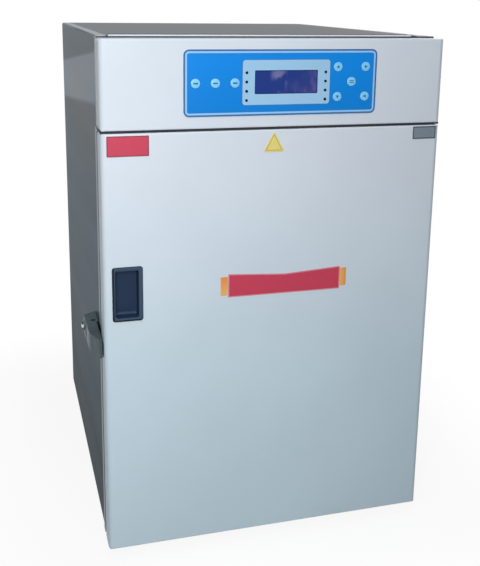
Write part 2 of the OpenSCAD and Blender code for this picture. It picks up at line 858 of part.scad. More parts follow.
// Board behind the keypad, on four posts, with a switch under each key and relays behind
module control_board() {
  post_x = board_half_w - 5;
  post_z = board_half_h - 5;
  key_back = front_y + key_stem_l + switch_gap;
  color("seagreen") translate([panel_x, 0, panel_z]) {
    block([-board_half_w, board_half_w], [board_y, board_y + board_t], [-board_half_h, board_half_h]);
    for (x = [-post_x, post_x], z = [-post_z, post_z]) rod_y(x, [front_y + skin, board_y + 0.5], z, 3);
    for (k = KEYS) rod_y(k[0], [key_back, board_y + 0.5], k[1], 3.4);
    for (i = [-1:1]) translate([i * (relay[0] + 10) - relay[0], board_y + 1, -relay[0]]) cube(relay);
    translate([2 * relay[0], board_y + 1, -relay[2]]) cube(supply_chip);
  }
}

supply = [150, 100, 42];
strip = [130, 13, 14];
strip_rise = 6;
supply_gap = 18;

// Boxed power supply with its terminal strip
module power_supply() {
  y = probe_y - sensor_head_r - supply_gap - supply[1] - strip[1];
  color("silver") translate([inlet_x + supply_gap, y, deck_top_z]) {
    cube(supply);
    translate([(supply[0] - strip[0]) / 2, supply[1] - 1, strip_rise]) cube(strip);
  }
}

valve = [28, 44, 24];
valve_foot = [36, 20];
coil_r = 15;
coil_h = 36;
valve_in = 100;
valve_y = back_y - valve_in;

// Solenoid valve: a body with the coil on it, on a bracket
module gas_valve() {
  y = [valve_y, valve_y + valve[1]];
  mid = (y[0] + y[1]) / 2;
  z = [gas_z - valve[2] / 2, gas_z + valve[2] / 2];
  color("goldenrod") {
    block([gas_x - valve[0] / 2, gas_x + valve[0] / 2], y, z);
    rod_z(gas_x, mid, [z[1] - 1, z[1] + coil_h], coil_r);
    block([gas_x - valve_foot[0] / 2, gas_x + valve_foot[0] / 2],
      [mid - valve_foot[1] / 2, mid + valve_foot[1] / 2], [deck_top_z, z[0] + 1]);
  }
}

line_r = 3;
line_bend = 20;

// Gas tube: inlet to valve, and valve down through the roof into the chamber
module gas_line() {
  color("white") {
    rod_y(gas_x, [valve_y + valve[1], back_y - sheet - 9], gas_z, line_r);
    rod_y(gas_x, [gas_drop_y + line_bend - 0.01, valve_y], gas_z, line_r);
    translate([gas_x, gas_drop_y + line_bend, gas_z - line_bend]) rotate([90, 0, 90])
      rotate([0, 0, 90]) rotate_extrude(angle = 90) translate([line_bend, 0]) circle(r = line_r, $fn = 24);
    rod_z(gas_x, gas_drop_y, [ceiling_z - 14, gas_z - line_bend + 0.01], line_r);
  }
}

// Tube fitting on the rear panel: hexagon, plain tube end and lock nut inside
module gas_inlet() {
  y = [back_y, back_y + gas_reach];
  color("goldenrod") difference() {
    union() {
      translate([gas_x, y[0] + 8, gas_z]) rotate([90, 0, 0]) cylinder(h = 8, r = gas_r + 6, $fn = 6);
      rod_y(gas_x, [y[0] - sheet - 8, y[1]], gas_z, gas_r);
      rod_y(gas_x, [y[0] - sheet - 1, y[0] + 1], gas_z, gas_r + 3 - press_gap);
      translate([gas_x, y[0] - sheet, gas_z]) rotate([90, 0, 0]) cylinder(h = 5, r = gas_r + 6, $fn = 6);
    }
    rod_y(gas_x, [y[0] - sheet - 10, y[1] + 1], gas_z, gas_r - 1.5);
  }
}

rocker_t = 12;
trunnion_r = 1.5;
rocker_y = back_y - 1;

// Mains inlet module: flange, recessed three-pin socket, fuse drawer and switch frame
module power_inlet() {
  body_d = 26;
  y = [back_y - body_d, back_y + 3];
  color("black") difference() {
    union() {
      translate([inlet_x, 0, inlet_z]) upright([back_y, y[1]]) rounded(inlet_w, inlet_h, 4);
      block([inlet_x - inlet_w / 2 + 4, inlet_x + inlet_w / 2 - 4], [y[0], back_y + 1],
        [inlet_z - inlet_h / 2 + 4, inlet_z + inlet_h / 2 - 4]);
      block([inlet_x - 13, inlet_x + 13], [back_y, y[1] + 1.5], [inlet_z - 1, inlet_z + 8]);
    }
    translate([inlet_x, 0, socket_z]) upright([y[1] - 17, y[1] + 1]) rounded(25, 17, 3);
    translate([inlet_x, 0, rocker_z]) upright([rocker_y - 10, y[1] + 1])
      square([rocker_w + 2, rocker_t + 4], center = true);
    rod_x([inlet_x - rocker_w / 2 - 3, inlet_x + rocker_w / 2 + 3], rocker_y, rocker_z, trunnion_r + fit_gap);
  }
  color("silver") for (p = [[-7, -2], [0, 2], [7, -2]]) translate([inlet_x + p[0], 0, socket_z + p[1]])
    block([-1, 1], [y[1] - 18, y[1] - 4], [-2, 2]);
}

// Rocker on its trunnions, tipped to its off side
module power_switch() {
  color("firebrick") translate([inlet_x, rocker_y, rocker_z]) rotate([rocker_tilt, 0, 0]) {
    sideways([-rocker_w / 2, rocker_w / 2]) polygon([[-4, -3], [-4, 3], [3.4, rocker_t / 2],
      [5.2, rocker_t / 2], [3.6, 0], [5.2, -rocker_t / 2], [3.4, -rocker_t / 2]]);
    rod_x([-rocker_w / 2 - 2.5, rocker_w / 2 + 2.5], 0, 0, trunnion_r);
  }
}

// Header

neck_left = 20;
neck_right = 43;
neck_x = [neck_left - half_w, half_w - neck_right];
lamp_z = [for (i = [0:3]) panel_z + lamp_top - i * lamp_pitch];

// Round openings for the keys and the lamps through a sheet at y
module panel_holes(y) {
  for (k = KEYS) rod_y(panel_x + k[0], [y[0] - 1, y[1] + 1], panel_z + k[1], key_r + slide_gap);
  for (x = lamp_x, z = lamp_z) rod_y(panel_x + x, [y[0] - 1, y[1] + 1], z, lamp_r + 0.2);
}

// Header box with its keypad cut-outs, and the narrower neck that meets the face frame
module header_fascia() {
  z = [header_z, top_z];
  y = [front_y, door_back_y];
  color("white") difference() {
    union() {
      front_box(y, z, 0);
      block(neck_x, [y[1] - 1, face_y], corner_z);
    }
    front_box([y[0] + skin, y[1] - skin], [z[0] + skin, z[1] - skin], skin);
    block([neck_x[0] + skin, neck_x[1] - skin], [y[1] - skin - 1, face_y + 1],
      [corner_z[0] + skin, corner_z[1] - skin]);
    panel_holes([y[0], y[0] + skin]);
    translate([lcd_x, 0, lcd_z]) upright([y[0] - 1, y[0] + skin + 1])
      square([lcd_w + 2 * lcd_rim, lcd_h + 2 * lcd_rim], center = true);
  }
}

// Printed overlay with openings for the keys, the lamps and the display
module keypad_overlay() {
  y = [front_y - overlay_t, front_y];
  color("dodgerblue") difference() {
    translate([panel_x, 0, panel_z]) upright(y) rounded(panel_w, panel_h, panel_r);
    panel_holes(y);
    translate([lcd_x, 0, lcd_z]) upright([y[0] - 1, y[1] + 1]) rounded(lcd_w, lcd_h, 1.5);
  }
}

module display_window() {
  color("darkblue") translate([lcd_x, 0, lcd_z]) upright([front_y, front_y + skin])
    square([lcd_w + 2 * lcd_rim - 0.4, lcd_h + 2 * lcd_rim - 0.4], center = true);
}

// Display unit: a metal bezel round its glass, on the board
module display_module() {
  bezel = 8;
  color("dimgray") translate([lcd_x, 0, lcd_z]) difference() {
    upright([front_y + skin, board_y]) square([lcd_w + 2 * bezel, lcd_h + 2 * bezel], center = true);
    upright([front_y, front_y + skin + 1.2]) square([lcd_w, lcd_h], center = true);
  }
}

// Eight lamps in two columns
module indicator_lamps() {
  color("midnightblue") for (x = lamp_x, z = lamp_z)
    rod_y(panel_x + x, [front_y - overlay_t - 0.2, board_y], z, lamp_r);
}

// Round key: a cap in the overlay and a stem that reaches its switch
module key(i) {
  k = KEYS[i];
  cap_back = front_y + skin + 0.4;
  color("paleturquoise") translate([panel_x + k[0], 0, panel_z + k[1]]) {
    rod_y(0, [front_y - key_proud, cap_back], 0, key_r);
    rod_y(0, [cap_back - 0.5, front_y + key_stem_l], 0, 2.5);
  }
}

module key_1() { key(0); }
module key_2() { key(1); }
module key_3() { key(2); }
module key_4() { key(3); }
module key_5() { key(4); }
module key_6() { key(5); }
module key_7() { key(6); }
module key_8() { key(7); }

// Outer door

nose_r = 9;

// Plan outline of a hinge bracket: a round nose on the axis and a leg to the back
module bracket_plan(back) {
  translate([hinge_x, hinge_y]) circle(r = nose_r);
  translate([hinge_x - nose_r, hinge_y]) square([2 * nose_r, back - hinge_y]);
}

tab_h = 42;

// Upper bracket, which lies in the seam, with its pin and a tab down the frame
module hinge_bracket_top() {
  z = door_top_z + (seam - bracket_t) / 2;
  color("dimgray") {
    level([z, z + bracket_t]) bracket_plan(face_y);
    rod_z(hinge_x, hinge_y, [z - bush_l + 1.5, z + 1], hinge_pin_r);
    block([hinge_x + 1, hinge_x + nose_r], [face_y - bracket_t, face_y], [z - tab_h, z + bracket_t]);
  }
}

// Lower bracket, bolted under the cabinet, with its pin
module hinge_bracket_bottom() {
  color("dimgray") {
    level([base_z - bracket_t, base_z]) bracket_plan(face_y + 45);
    rod_z(hinge_x, hinge_y, [base_z - 1, front_z + bush_l - 2], hinge_pin_r);
  }
}

// Outer pan of the door
module door_skin() {
  z = [front_z, door_top_z];
  color("white") difference() {
    front_box([front_y, door_back_y], z, 0);
    front_box([front_y + skin, door_back_y + 1], [z[0] + skin, z[1] - skin], skin);
    translate([cup_x, 0, cup_z]) upright([front_y - 1, front_y + skin + 1])
      rounded(cup_w - 2 * cup_rim, cup_h - 2 * cup_rim, cup_r);
    rod_z(hinge_x, hinge_y, [z[0] - 1, z[1] + 1], bush_r);
  }
}

// Foam inside the door
module door_foam() {
  fold = max(skin, fold_r);
  z = [front_z + fold, door_top_z - fold];
  side = half_w - skin - max(edge_r, corner_r);
  color("khaki") difference() {
    block([-side, side], [front_y + skin, door_back_y - liner], z);
    block([-dish_half - liner, dish_half + liner], [door_back_y - dish_d - liner, door_back_y],
      [dish_z0 - liner, dish_z1 + liner]);
    translate([cup_x, 0, cup_z]) upright([front_y, front_y + cup_d + cup_wall])
      rounded(cup_w - 2 * cup_rim, cup_h - 2 * cup_rim, cup_r);
    rod_z(hinge_x, hinge_y, [z[0] - 1, front_z + bush_l], bush_r);
    rod_z(hinge_x, hinge_y, [door_top_z - bush_l, z[1] + 1], bush_r);
  }
}

// Stainless lining of the door, pressed into a shallow dish
module door_liner() {
  half = half_w - skin - 0.2;
  z = [front_z + skin + 0.2, door_top_z - skin - 0.2];
  mid = (dish_z0 + dish_z1) / 2;
  color("gainsboro") {
    upright([door_back_y - liner, door_back_y]) difference() {
      translate([0, (z[0] + z[1]) / 2]) rounded(2 * half, z[1] - z[0], max(corner_r - skin, 1));
      translate([0, mid]) rounded(2 * dish_half, dish_z1 - dish_z0, 16);
    }
    translate([0, 0, mid]) {
      upright([door_back_y - dish_d, door_back_y]) difference() {
        rounded(2 * (dish_half + liner), dish_z1 - dish_z0 + 2 * liner, 16 + liner);
        rounded(2 * dish_half, dish_z1 - dish_z0, 16);
      }
      upright([door_back_y - dish_d - liner, door_back_y - dish_d])
        rounded(2 * (dish_half + liner), dish_z1 - dish_z0 + 2 * liner, 16 + liner);
    }
  }
}

gasket_base = 4;

// Magnetic gasket: a foot on the lining and a narrower bulb that meets the frame
module gasket_ring(y, inset) {
  w = 2 * gasket_half;
  h = gasket_z1 - gasket_z0;
  translate([0, 0, (gasket_z0 + gasket_z1) / 2]) upright(y) difference() {
    rounded(w - 2 * inset, h - 2 * inset, 8);
    rounded(w - 2 * gasket_w + 2 * inset, h - 2 * gasket_w + 2 * inset, 4);
  }
}

module door_gasket() {
  color("dimgray") {
    gasket_ring([door_back_y, door_back_y + gasket_base], 0);
    gasket_ring([door_back_y + gasket_base - 0.5, face_y - slide_gap], 1.8);
  }
}

// Bearing bushes in the top and bottom of the door
module door_bushes() {
  color("white") difference() {
    for (z = [front_z, door_top_z - bush_l]) rod_z(hinge_x, hinge_y, [z, z + bush_l], bush_r - press_gap);
    rod_z(hinge_x, hinge_y, [front_z - 1, door_top_z + 1], hinge_pin_r + fit_gap);
  }
}

// Recessed pull: a proud rim and a well with an undercut for the fingers
module pull_cup() {
  w = cup_w - 2 * cup_rim - press_gap;
  h = cup_h - 2 * cup_rim - press_gap;
  rim_in = 3;
  color("darkslategray") translate([cup_x, 0, cup_z]) difference() {
    union() {
      upright([front_y - cup_proud, front_y]) rounded(cup_w, cup_h, cup_r);
      upright([front_y - 1, front_y + cup_d + cup_wall]) rounded(w, h, cup_r);
    }
    upright([front_y - cup_proud - 1, front_y + cup_d]) rounded(w - 2 * rim_in, h - 2 * rim_in, 3);
    upright([front_y + 5, front_y + cup_d]) rounded(w - 2 * cup_wall, h - 2 * rim_in, 3);
  }
}

strike_half = 12;

// Flat keeper on the door's side, under the tip of the lever
module strike_plate() {
  y = front_y + 22;
  color("silver") translate([0, y, latch_mid_z]) sideways([-half_w - strike_t, -half_w])
    rounded(2 * strike_half, 2 * strike_half, 3);
}

// Glass door

module glass_pane() {
  color("lightcyan", 0.4) difference() {
    translate([0, 0, mid_z]) upright([glass_front_y, glass_back_y])
      rounded(2 * glass_half, glass_z1 - glass_z0, 6);
    rod_y(knob_x, [glass_front_y - 1, glass_back_y + 1], mid_z, knob_stem_r + fit_gap);
  }
}

glass_seal_w = 12;

// Soft seal round the back of the glass
module glass_seal() {
  h = glass_z1 - glass_z0;
  color("whitesmoke") translate([0, 0, mid_z]) upright([glass_back_y, seal_back_y]) difference() {
    rounded(2 * glass_half, h, 6);
    rounded(2 * (glass_half - glass_seal_w), h - 2 * glass_seal_w, 4);
  }
}

leaf_half = 4.7;
ear_len = 10;
leaf_l = 30;
leaf_t = 1.5;

// Leaves clamped on the glass, with a knuckle on each hinge axis
module glass_hinge_leaves() {
  color("silver") for (z = glass_hinge_z) difference() {
    union() {
      rod_z(glass_hinge_x, glass_hinge_y, [z - leaf_half, z + leaf_half], glass_hinge_r);
      block([glass_half - 2, glass_hinge_x], [glass_front_y - leaf_t, glass_hinge_y - 1.6],
        [z - leaf_half, z + leaf_half]);
      block([glass_half - leaf_l, glass_half], [glass_front_y - leaf_t, glass_front_y], [z - 14, z + 14]);
    }
    rod_z(glass_hinge_x, glass_hinge_y, [z - leaf_half - 1, z + leaf_half + 1], glass_pin_r + fit_gap);
    block([glass_half - 3, glass_half], [glass_front_y, face_y], [z - 15, z + 15]);
  }
}

// Brackets on the face frame, each with two ears and a pin
module glass_hinge_brackets() {
  color("silver") for (z = glass_hinge_z) {
    for (s = [-1, 1]) {
      low = s < 0 ? z - leaf_half - 0.3 - ear_len : z + leaf_half + 0.3;
      rod_z(glass_hinge_x, glass_hinge_y, [low, low + ear_len], glass_hinge_r);
      block([glass_hinge_x - glass_hinge_r, glass_hinge_x + glass_hinge_r], [glass_hinge_y, face_y],
        [low, low + ear_len]);
    }
    rod_z(glass_hinge_x, glass_hinge_y, [z - leaf_half - 1, z + leaf_half + 1], glass_pin_r);
  }
}

tongue_y = glass_front_y - slide_gap;

// Turning latch: a knob with a grip bar, a tongue, a stem through the glass and a nut
module glass_latch() {
  y = tongue_y - tongue_t;
  color("white") {
    translate([knob_x, 0, mid_z]) upright([y, tongue_y]) {
      translate([-tongue_w / 2, 0]) square([tongue_w, tongue_l]);
      translate([0, tongue_l]) circle(r = tongue_w / 2);
    }
    rod_y(knob_x, [y - 3.5, tongue_y], mid_z, knob_r);
    block([knob_x - 2.5, knob_x + 2.5], [y - 7, y - 3], [mid_z - knob_r + 1, mid_z + knob_r - 1]);
    rod_y(knob_x, [tongue_y - 1, glass_back_y + slide_gap + 1], mid_z, knob_stem_r);
    rod_y(knob_x, [glass_back_y + slide_gap, glass_back_y + slide_gap + 3], mid_z, 7);
  }
}

// Hook on the face frame that the tongue turns under
module glass_keeper() {
  tip = -knob_x + tongue_l + tongue_w / 2;
  x = -tip - 1.5;
  lip_y = tongue_y - tongue_t - 0.6;
  color("white") translate([0, 0, mid_z - keeper_h / 2]) {
    block([x - keeper_wall, x], [lip_y - keeper_wall, face_y], [0, keeper_h]);
    block([x - keeper_wall, x + 6.5], [lip_y - keeper_wall, lip_y], [0, keeper_h]);
  }
}

// Side latch

// Plan outline of the fixed part of the latch, behind the lever
module latch_base_plan() {
  slope_y = min(barrel_y + barrel_r + 3, latch_rear_y - 4);
  intersection() {
    union() {
      polygon([[-cab_half, pivot_y], [-cab_half, latch_rear_y], [-cab_half - 4, latch_rear_y],
        [base_out_x, slope_y], [base_out_x, pivot_y]]);
      translate([pivot_x, pivot_y]) circle(r = ear_r);
    }
    translate([base_out_x, pivot_y - ear_r - 1])
      square([-cab_half - base_out_x, latch_rear_y - pivot_y + ear_r + 2]);
  }
}

lever_open = 60;
arm_half = knuckle_r - 2.5;
socket_r = knuckle_r + 0.6;
swing_y = arm_half * sin(lever_open) - sqrt(socket_r ^ 2 - arm_half ^ 2) * cos(lever_open) + 0.6;

// Wedge-shaped block with two ears for the lever, its pin, and the lock's collar.
// The slot for the knuckle runs swing_y past the pivot, so that the arm can open.
module latch_base() {
  slot = [latch_z + ear_h - slide_gap, latch_top_z - ear_h + slide_gap];
  color("dimgray") {
    difference() {
      union() {
        level([latch_z, latch_top_z]) latch_base_plan();
        rod_x([base_out_x - 2, base_out_x + 1], barrel_y, latch_mid_z, barrel_r + 2.5);
      }
      level(slot) translate([pivot_x, pivot_y]) circle(r = socket_r);
      level(slot) translate([base_out_x - 1, pivot_y - ear_r - 1])
        square([-cab_half - base_out_x + 2, ear_r + 1]);
      level(slot) translate([base_out_x - 1, pivot_y - 1]) square([pivot_x - base_out_x + 1, swing_y + 1]);
      rod_z(pivot_x, pivot_y, [latch_z - 1, latch_top_z + 1], latch_pin_r);
      rod_x([base_out_x - 3, base_out_x + 12], barrel_y, latch_mid_z, barrel_r + fit_gap);
    }
    rod_z(pivot_x, pivot_y, [latch_z + 1, latch_top_z - 1.5], latch_pin_r);
  }
}

// Swinging arm: a knuckle between the ears and a bar that laps over the door's side
module latch_lever() {
  tip_y = front_y + latch_front;
  cut_r = ear_r + 0.7;
  color("slategray") difference() {
    union() {
      level([latch_z, latch_top_z]) difference() {
        polygon([[lever_in_x, pivot_y], [lever_in_x, tip_y], [lever_in_x - 5, tip_y],
          [lever_out_x + 1.5, tip_y + 30], [lever_out_x, tip_y + 42], [lever_out_x, pivot_y]]);
        translate([pivot_x, pivot_y]) circle(r = cut_r);
        translate([lever_out_x - 1, pivot_y - 8.5]) square([lever_t + 3, 20]);
      }
      level([latch_z + ear_h, latch_top_z - ear_h]) {
        translate([pivot_x, pivot_y]) circle(r = knuckle_r);
        translate([pivot_x - arm_half, pivot_y - cut_r - 2]) square([2 * arm_half, cut_r + 2]);
      }
    }
    rod_z(pivot_x, pivot_y, [latch_z - 1, latch_top_z + 1], latch_pin_r + fit_gap);
  }
}

// Turning barrel with a key slot in its face
module lock_barrel() {
  x = [base_out_x - barrel_reach, base_out_x + 11.7];
  color("silver") difference() {
    rod_x(x, barrel_y, latch_mid_z, barrel_r);
    block([x[0] - 1, x[0] + 3.5], [barrel_y - 0.8, barrel_y + 0.8], [latch_mid_z - 3.5, latch_mid_z + 3.5]);
  }
}

cabinet_wrap();
base_pan();
levelling_feet();
rear_panel();
front_frame();
foam_shell();
inner_chamber();
shelf_racks();
shelf_upper();
shelf_middle();
shelf_lower();
humidity_pan();
air_duct();
heater_ring();
fan_motor();
fan_wheel();
co2_sensor();
temperature_probe();
port_sleeve();
port_plug();
electronics_deck();
control_board();
power_supply();
gas_valve();
gas_line();
gas_inlet();
power_inlet();
power_switch();
header_fascia();
keypad_overlay();
display_window();
display_module();
indicator_lamps();
key_1();
key_2();
key_3();
key_4();
key_5();
key_6();
key_7();
key_8();
hinge_bracket_top();
hinge_bracket_bottom();
door_skin();
door_foam();
door_liner();
door_gasket();
door_bushes();
pull_cup();
strike_plate();
glass_pane();
glass_seal();
glass_hinge_leaves();
glass_hinge_brackets();
glass_latch();
glass_keeper();
latch_base();
latch_lever();
lock_barrel();
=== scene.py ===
import json
import math

import bmesh
import bpy
from bpy.props import FloatProperty, FloatVectorProperty, PointerProperty
from bpy.types import Operator, Panel, PropertyGroup
from mathutils import Matrix, Vector

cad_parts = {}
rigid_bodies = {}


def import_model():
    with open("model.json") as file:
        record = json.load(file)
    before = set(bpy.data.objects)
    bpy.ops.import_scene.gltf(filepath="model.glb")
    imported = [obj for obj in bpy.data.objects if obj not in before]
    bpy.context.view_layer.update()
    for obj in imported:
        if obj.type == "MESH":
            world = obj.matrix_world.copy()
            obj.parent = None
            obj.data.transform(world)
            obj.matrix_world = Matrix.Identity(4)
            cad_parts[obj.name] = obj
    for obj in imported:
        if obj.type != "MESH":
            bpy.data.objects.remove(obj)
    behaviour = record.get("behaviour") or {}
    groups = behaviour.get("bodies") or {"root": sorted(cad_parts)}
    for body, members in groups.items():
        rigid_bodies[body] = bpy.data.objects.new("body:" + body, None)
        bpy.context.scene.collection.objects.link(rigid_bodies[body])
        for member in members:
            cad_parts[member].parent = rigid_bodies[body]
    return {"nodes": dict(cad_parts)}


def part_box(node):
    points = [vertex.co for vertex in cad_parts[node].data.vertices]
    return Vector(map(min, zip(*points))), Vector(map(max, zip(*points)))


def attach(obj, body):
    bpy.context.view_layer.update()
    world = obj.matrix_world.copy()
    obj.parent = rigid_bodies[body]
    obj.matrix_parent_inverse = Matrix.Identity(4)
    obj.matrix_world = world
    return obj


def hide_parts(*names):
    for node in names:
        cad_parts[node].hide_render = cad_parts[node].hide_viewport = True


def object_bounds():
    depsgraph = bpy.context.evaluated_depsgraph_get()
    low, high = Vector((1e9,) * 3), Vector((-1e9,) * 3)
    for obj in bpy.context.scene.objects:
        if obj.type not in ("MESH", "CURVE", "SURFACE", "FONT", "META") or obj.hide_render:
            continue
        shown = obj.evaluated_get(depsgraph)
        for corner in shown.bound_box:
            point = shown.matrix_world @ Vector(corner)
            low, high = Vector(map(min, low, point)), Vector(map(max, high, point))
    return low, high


for start_up_object in list(bpy.data.objects):
    bpy.data.objects.remove(start_up_object)
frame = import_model()
CAD_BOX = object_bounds()

bl_info = {
    "name": "Carbon dioxide incubator",
    "version": (1, 0, 0),
    "blender": (4, 5, 0),
    "location": "3D View > Sidebar > Incubator",
    "description": "Shells, seals, keys and finishes for a carbon dioxide incubator",
    "category": "Object",
}


# Sizes and colours that a user may change


def linear(red, green, blue):
    """A screen colour, 0 to 255 in each channel, as the linear values that shaders take."""
    shares = [channel / 255 for channel in (red, green, blue)]
    return tuple(s / 12.92 if s <= 0.04045 else ((s + 0.055) / 1.055) ** 2.4 for s in shares)


def length(name, description, default):
    """A size in metres, shown with its unit."""
    return FloatProperty(
        name=name, description=description, default=default, min=0.0, precision=5, unit="LENGTH"
    )


def colour(name, description, default):
    """A colour that can be picked."""
    return FloatVectorProperty(
        name=name, description=description, default=default, size=3, min=0.0, max=1.0, subtype="COLOR"
    )


class IncubatorSizes(PropertyGroup):
    edge: length("Edge radius", "Radius of the upright front edges", 0.009)
    fold: length("Fold radius", "Radius of the folds along the top and bottom front edges", 0.0024)
    corner: length("Corner radius", "Radius of the corners of the door and header outlines", 0.0048)
    skin: length("Skin", "Sheet thickness of the door and the header", 0.0012)
    rear_fold: length("Rear fold", "Radius of the edges at the back of the door and the header", 0.0014)
    header_drop: length("Header drop", "How far the header's box stays below the cabinet's top", 0.0030)
    neck_rise: length("Neck rise", "How far the header's neck stands above the cabinet's top", 0.0014)
    overlay_lap: length("Overlay lap", "How far the keypad overlay laps over the header's opening", 0.004)
    cup_rim: length("Cup rim", "Width of the pull cup's rim", 0.0063)
    cup_depth: length("Cup depth", "Depth of the pull cup's well", 0.019)
    key_dome: length("Key dome", "How far the middle of a key stands above its edge", 0.00035)
    lamp_dome: length("Lamp dome", "How far an indicator lamp stands out of the overlay", 0.0007)
    plate: length("Plate thickness", "Thickness of the plain plates on the door", 0.0006)
    screw: length("Screw radius", "Radius of the heads of the cover screws", 0.0036)


class IncubatorColours(PropertyGroup):
    enamel: colour("Enamel", "White powder coat of the door and the header", linear(217, 227, 238))
    # Painted shade: a cooler cast of the white coat, for the lower door, where less light falls.
    cool_shade_enamel: colour("Lower enamel", "Cooler shade of the coat low on the door", linear(205, 226, 238))
    side_steel: colour("Side steel", "Brushed stainless sheet of the cabinet", linear(131, 146, 155))
    frame_steel: colour("Frame steel", "Face frame round the chamber mouth", linear(150, 154, 158))
    inner_steel: colour("Inner steel", "Polished lining, shelves and duct", linear(196, 199, 201))
    plated: colour("Plated", "Bright plated fittings", linear(206, 207, 209))
    coated: colour("Coated sheet", "Coated rear panel and floor pan", linear(160, 163, 166))
    latch: colour("Latch", "Cast side latch", linear(72, 88, 94))
    pocket: colour("Pull cup", "Slate-blue rim of the pull cup", linear(57, 77, 98))
    # Painted shade: the darker colour stands for the shade inside the pull cup's well.
    well: colour("Pull cup well", "Darker inside of the pull cup", linear(32, 51, 78))
    overlay: colour("Overlay", "Blue field of the keypad overlay", linear(6, 134, 226))
    overlay_dark: colour("Overlay edge", "Dark line round the overlay", linear(62, 108, 160))
    overlay_light: colour("Overlay line", "Light line inside the dark one", linear(146, 204, 254))
    bezel: colour("Bezel", "Pale field round the display", linear(158, 202, 235))
    display: colour("Display", "Dark blue display window", linear(32, 58, 134))
    key: colour("Key", "Pale blue keys", linear(126, 206, 252))
    key_mark: colour("Key mark", "Small marks on the keys", linear(34, 92, 122))
    red_plate: colour("Red plate", "Plain red plates", linear(198, 62, 88))
    amber: colour("Amber", "End blocks of the red strip", linear(238, 154, 84))
    yellow_plate: colour("Yellow plate", "Plain yellow plate", linear(228, 214, 128))
    grey_plate: colour("Grey plate", "Plain grey plate", linear(123, 137, 148))
    rubber: colour("Rubber", "Door gasket and foot pads", linear(52, 54, 58))
    silicone: colour("Silicone", "Pale seal of the glass door", linear(212, 214, 210))
    stopper: colour("Stopper", "Grey silicone stopper", linear(140, 146, 150))
    foam: colour("Foam", "Rigid insulation", linear(226, 208, 166))
    circuit: colour("Circuit board", "Green circuit board", linear(38, 112, 74))
    brass: colour("Brass", "Turned brass fittings", linear(198, 168, 98))
    white_plastic: colour("White plastic", "White moulded fittings", linear(222, 222, 216))
    black_plastic: colour("Black plastic", "Black moulded fittings", linear(44, 44, 46))
    rocker: colour("Rocker", "Red mains rocker", linear(176, 40, 36))


# Meshes


class Face:
    """One way that a piece can face: u runs along it, v up it and d out of it."""

    def __init__(self, along, up):
        self.along = Vector(along)
        self.up = Vector(up)
        self.out = self.along.cross(self.up)

    def at(self, centre, point):
        """Where a point of the face lies in the frame."""
        u, v, d = point
        return centre + self.along * u + self.up * v + self.out * d


FRONT = Face((1, 0, 0), (0, 0, 1))
REAR = Face((-1, 0, 0), (0, 0, 1))
LEFT = Face((0, -1, 0), (0, 0, 1))
RIGHT = Face((0, 1, 0), (0, 0, 1))
TOP = Face((1, 0, 0), (0, 1, 0))
CORNER_STEPS = 8
CREASE = 32
QUARTERS = [(1, -1), (1, 1), (-1, 1), (-1, -1)]


def rounded_rect(width, height, radius, depth, shift=(0.0, 0.0)):
    """A ring round a rectangle with round corners, anticlockwise from its lower right corner."""
    ring = []
    for quarter, (side, end) in enumerate(QUARTERS):
        for step in range(CORNER_STEPS + 1):
            angle = math.radians(90 * (quarter - 1 + step / CORNER_STEPS))
            u = side * (width / 2 - radius) + radius * math.cos(angle)
            v = end * (height / 2 - radius) + radius * math.sin(angle)
            ring.append((u + shift[0], v + shift[1], depth))
    return ring


def circle(radius, depth, count, ribs=0, rib=0.0):
    """A ring round a circle, with soft ribs if any are asked for."""
    ring = []
    for step in range(count):
        angle = 2 * math.pi * step / count
        reach = radius + rib * max(0.0, math.cos(ribs * angle)) ** 0.5 if ribs else radius
        ring.append((reach * math.cos(angle), reach * math.sin(angle), depth))
    return ring


def loft(name, rings, face, centre, closed=False):
    """A piece whose skin runs through rings of equal counts, capped at both ends or closed on itself."""
    count = len(rings[0])
    spans = len(rings) if closed else len(rings) - 1
    points = [face.at(centre, point) for ring in rings for point in ring]
    faces = []
    for span in range(spans):
        low = span * count
        high = (span + 1) % len(rings) * count
        for step in range(count):
            after = (step + 1) % count
            faces.append((low + step, low + after, high + after, high + step))
    if not closed:
        faces.append(tuple(reversed(range(count))))
        faces.append(tuple(range(len(points) - count, len(points))))
    return piece_of(name, points, faces)


def piece_of(name, points, faces):
    """A smooth-shaded piece with sharp edges where faces meet at more than the crease angle."""
    mesh = bpy.data.meshes.new(name)
    mesh.from_pydata(points, [], faces)
    work = bmesh.new()
    work.from_mesh(mesh)
    bmesh.ops.recalc_face_normals(work, faces=work.faces)
    work.to_mesh(mesh)
    work.free()
    mesh.shade_smooth()
    mesh.set_sharp_from_angle(angle=math.radians(CREASE))
    piece = bpy.data.objects.new(name, mesh)
    bpy.context.scene.collection.objects.link(piece)
    weigh_normals(piece)
    return piece


def weigh_normals(piece):
    """Lets the large faces of a piece set its shading, so that they look flat."""
    weighted = piece.modifiers.new("Weighted normals", "WEIGHTED_NORMAL")
    weighted.keep_sharp = True
    weighted.weight = 90


def joined(name, pieces):
    """Several pieces as one."""
    points, faces = [], []
    for piece in pieces:
        start = len(points)
        points.extend(vertex.co.copy() for vertex in piece.data.vertices)
        faces.extend(tuple(start + index for index in face.vertices) for face in piece.data.polygons)
        bpy.data.objects.remove(piece)
    return piece_of(name, points, faces)


def plate(name, face, centre, width, height, radius, thickness, chamfer=0.0002):
    """A flat plate with round corners and a fine chamfer round its face."""
    rings = [
        rounded_rect(width, height, radius, 0.0),
        rounded_rect(width, height, radius, thickness - chamfer),
        rounded_rect(width - 2 * chamfer, height - 2 * chamfer, radius - chamfer, thickness),
    ]
    return loft(name, rings, face, centre)


def middle(low, high):
    """The middle of a box."""
    return (Vector(low) + Vector(high)) / 2


def front_middle(low, high, depth):
    """The middle of a box seen from the front, at a given depth."""
    centre = middle(low, high)
    return Vector((centre.x, depth, centre.z))


def front_size(low, high, lap=0.0):
    """Width and height of a box seen from the front, less a lap all round."""
    return (high.x - low.x - 2 * lap, high.z - low.z - 2 * lap)


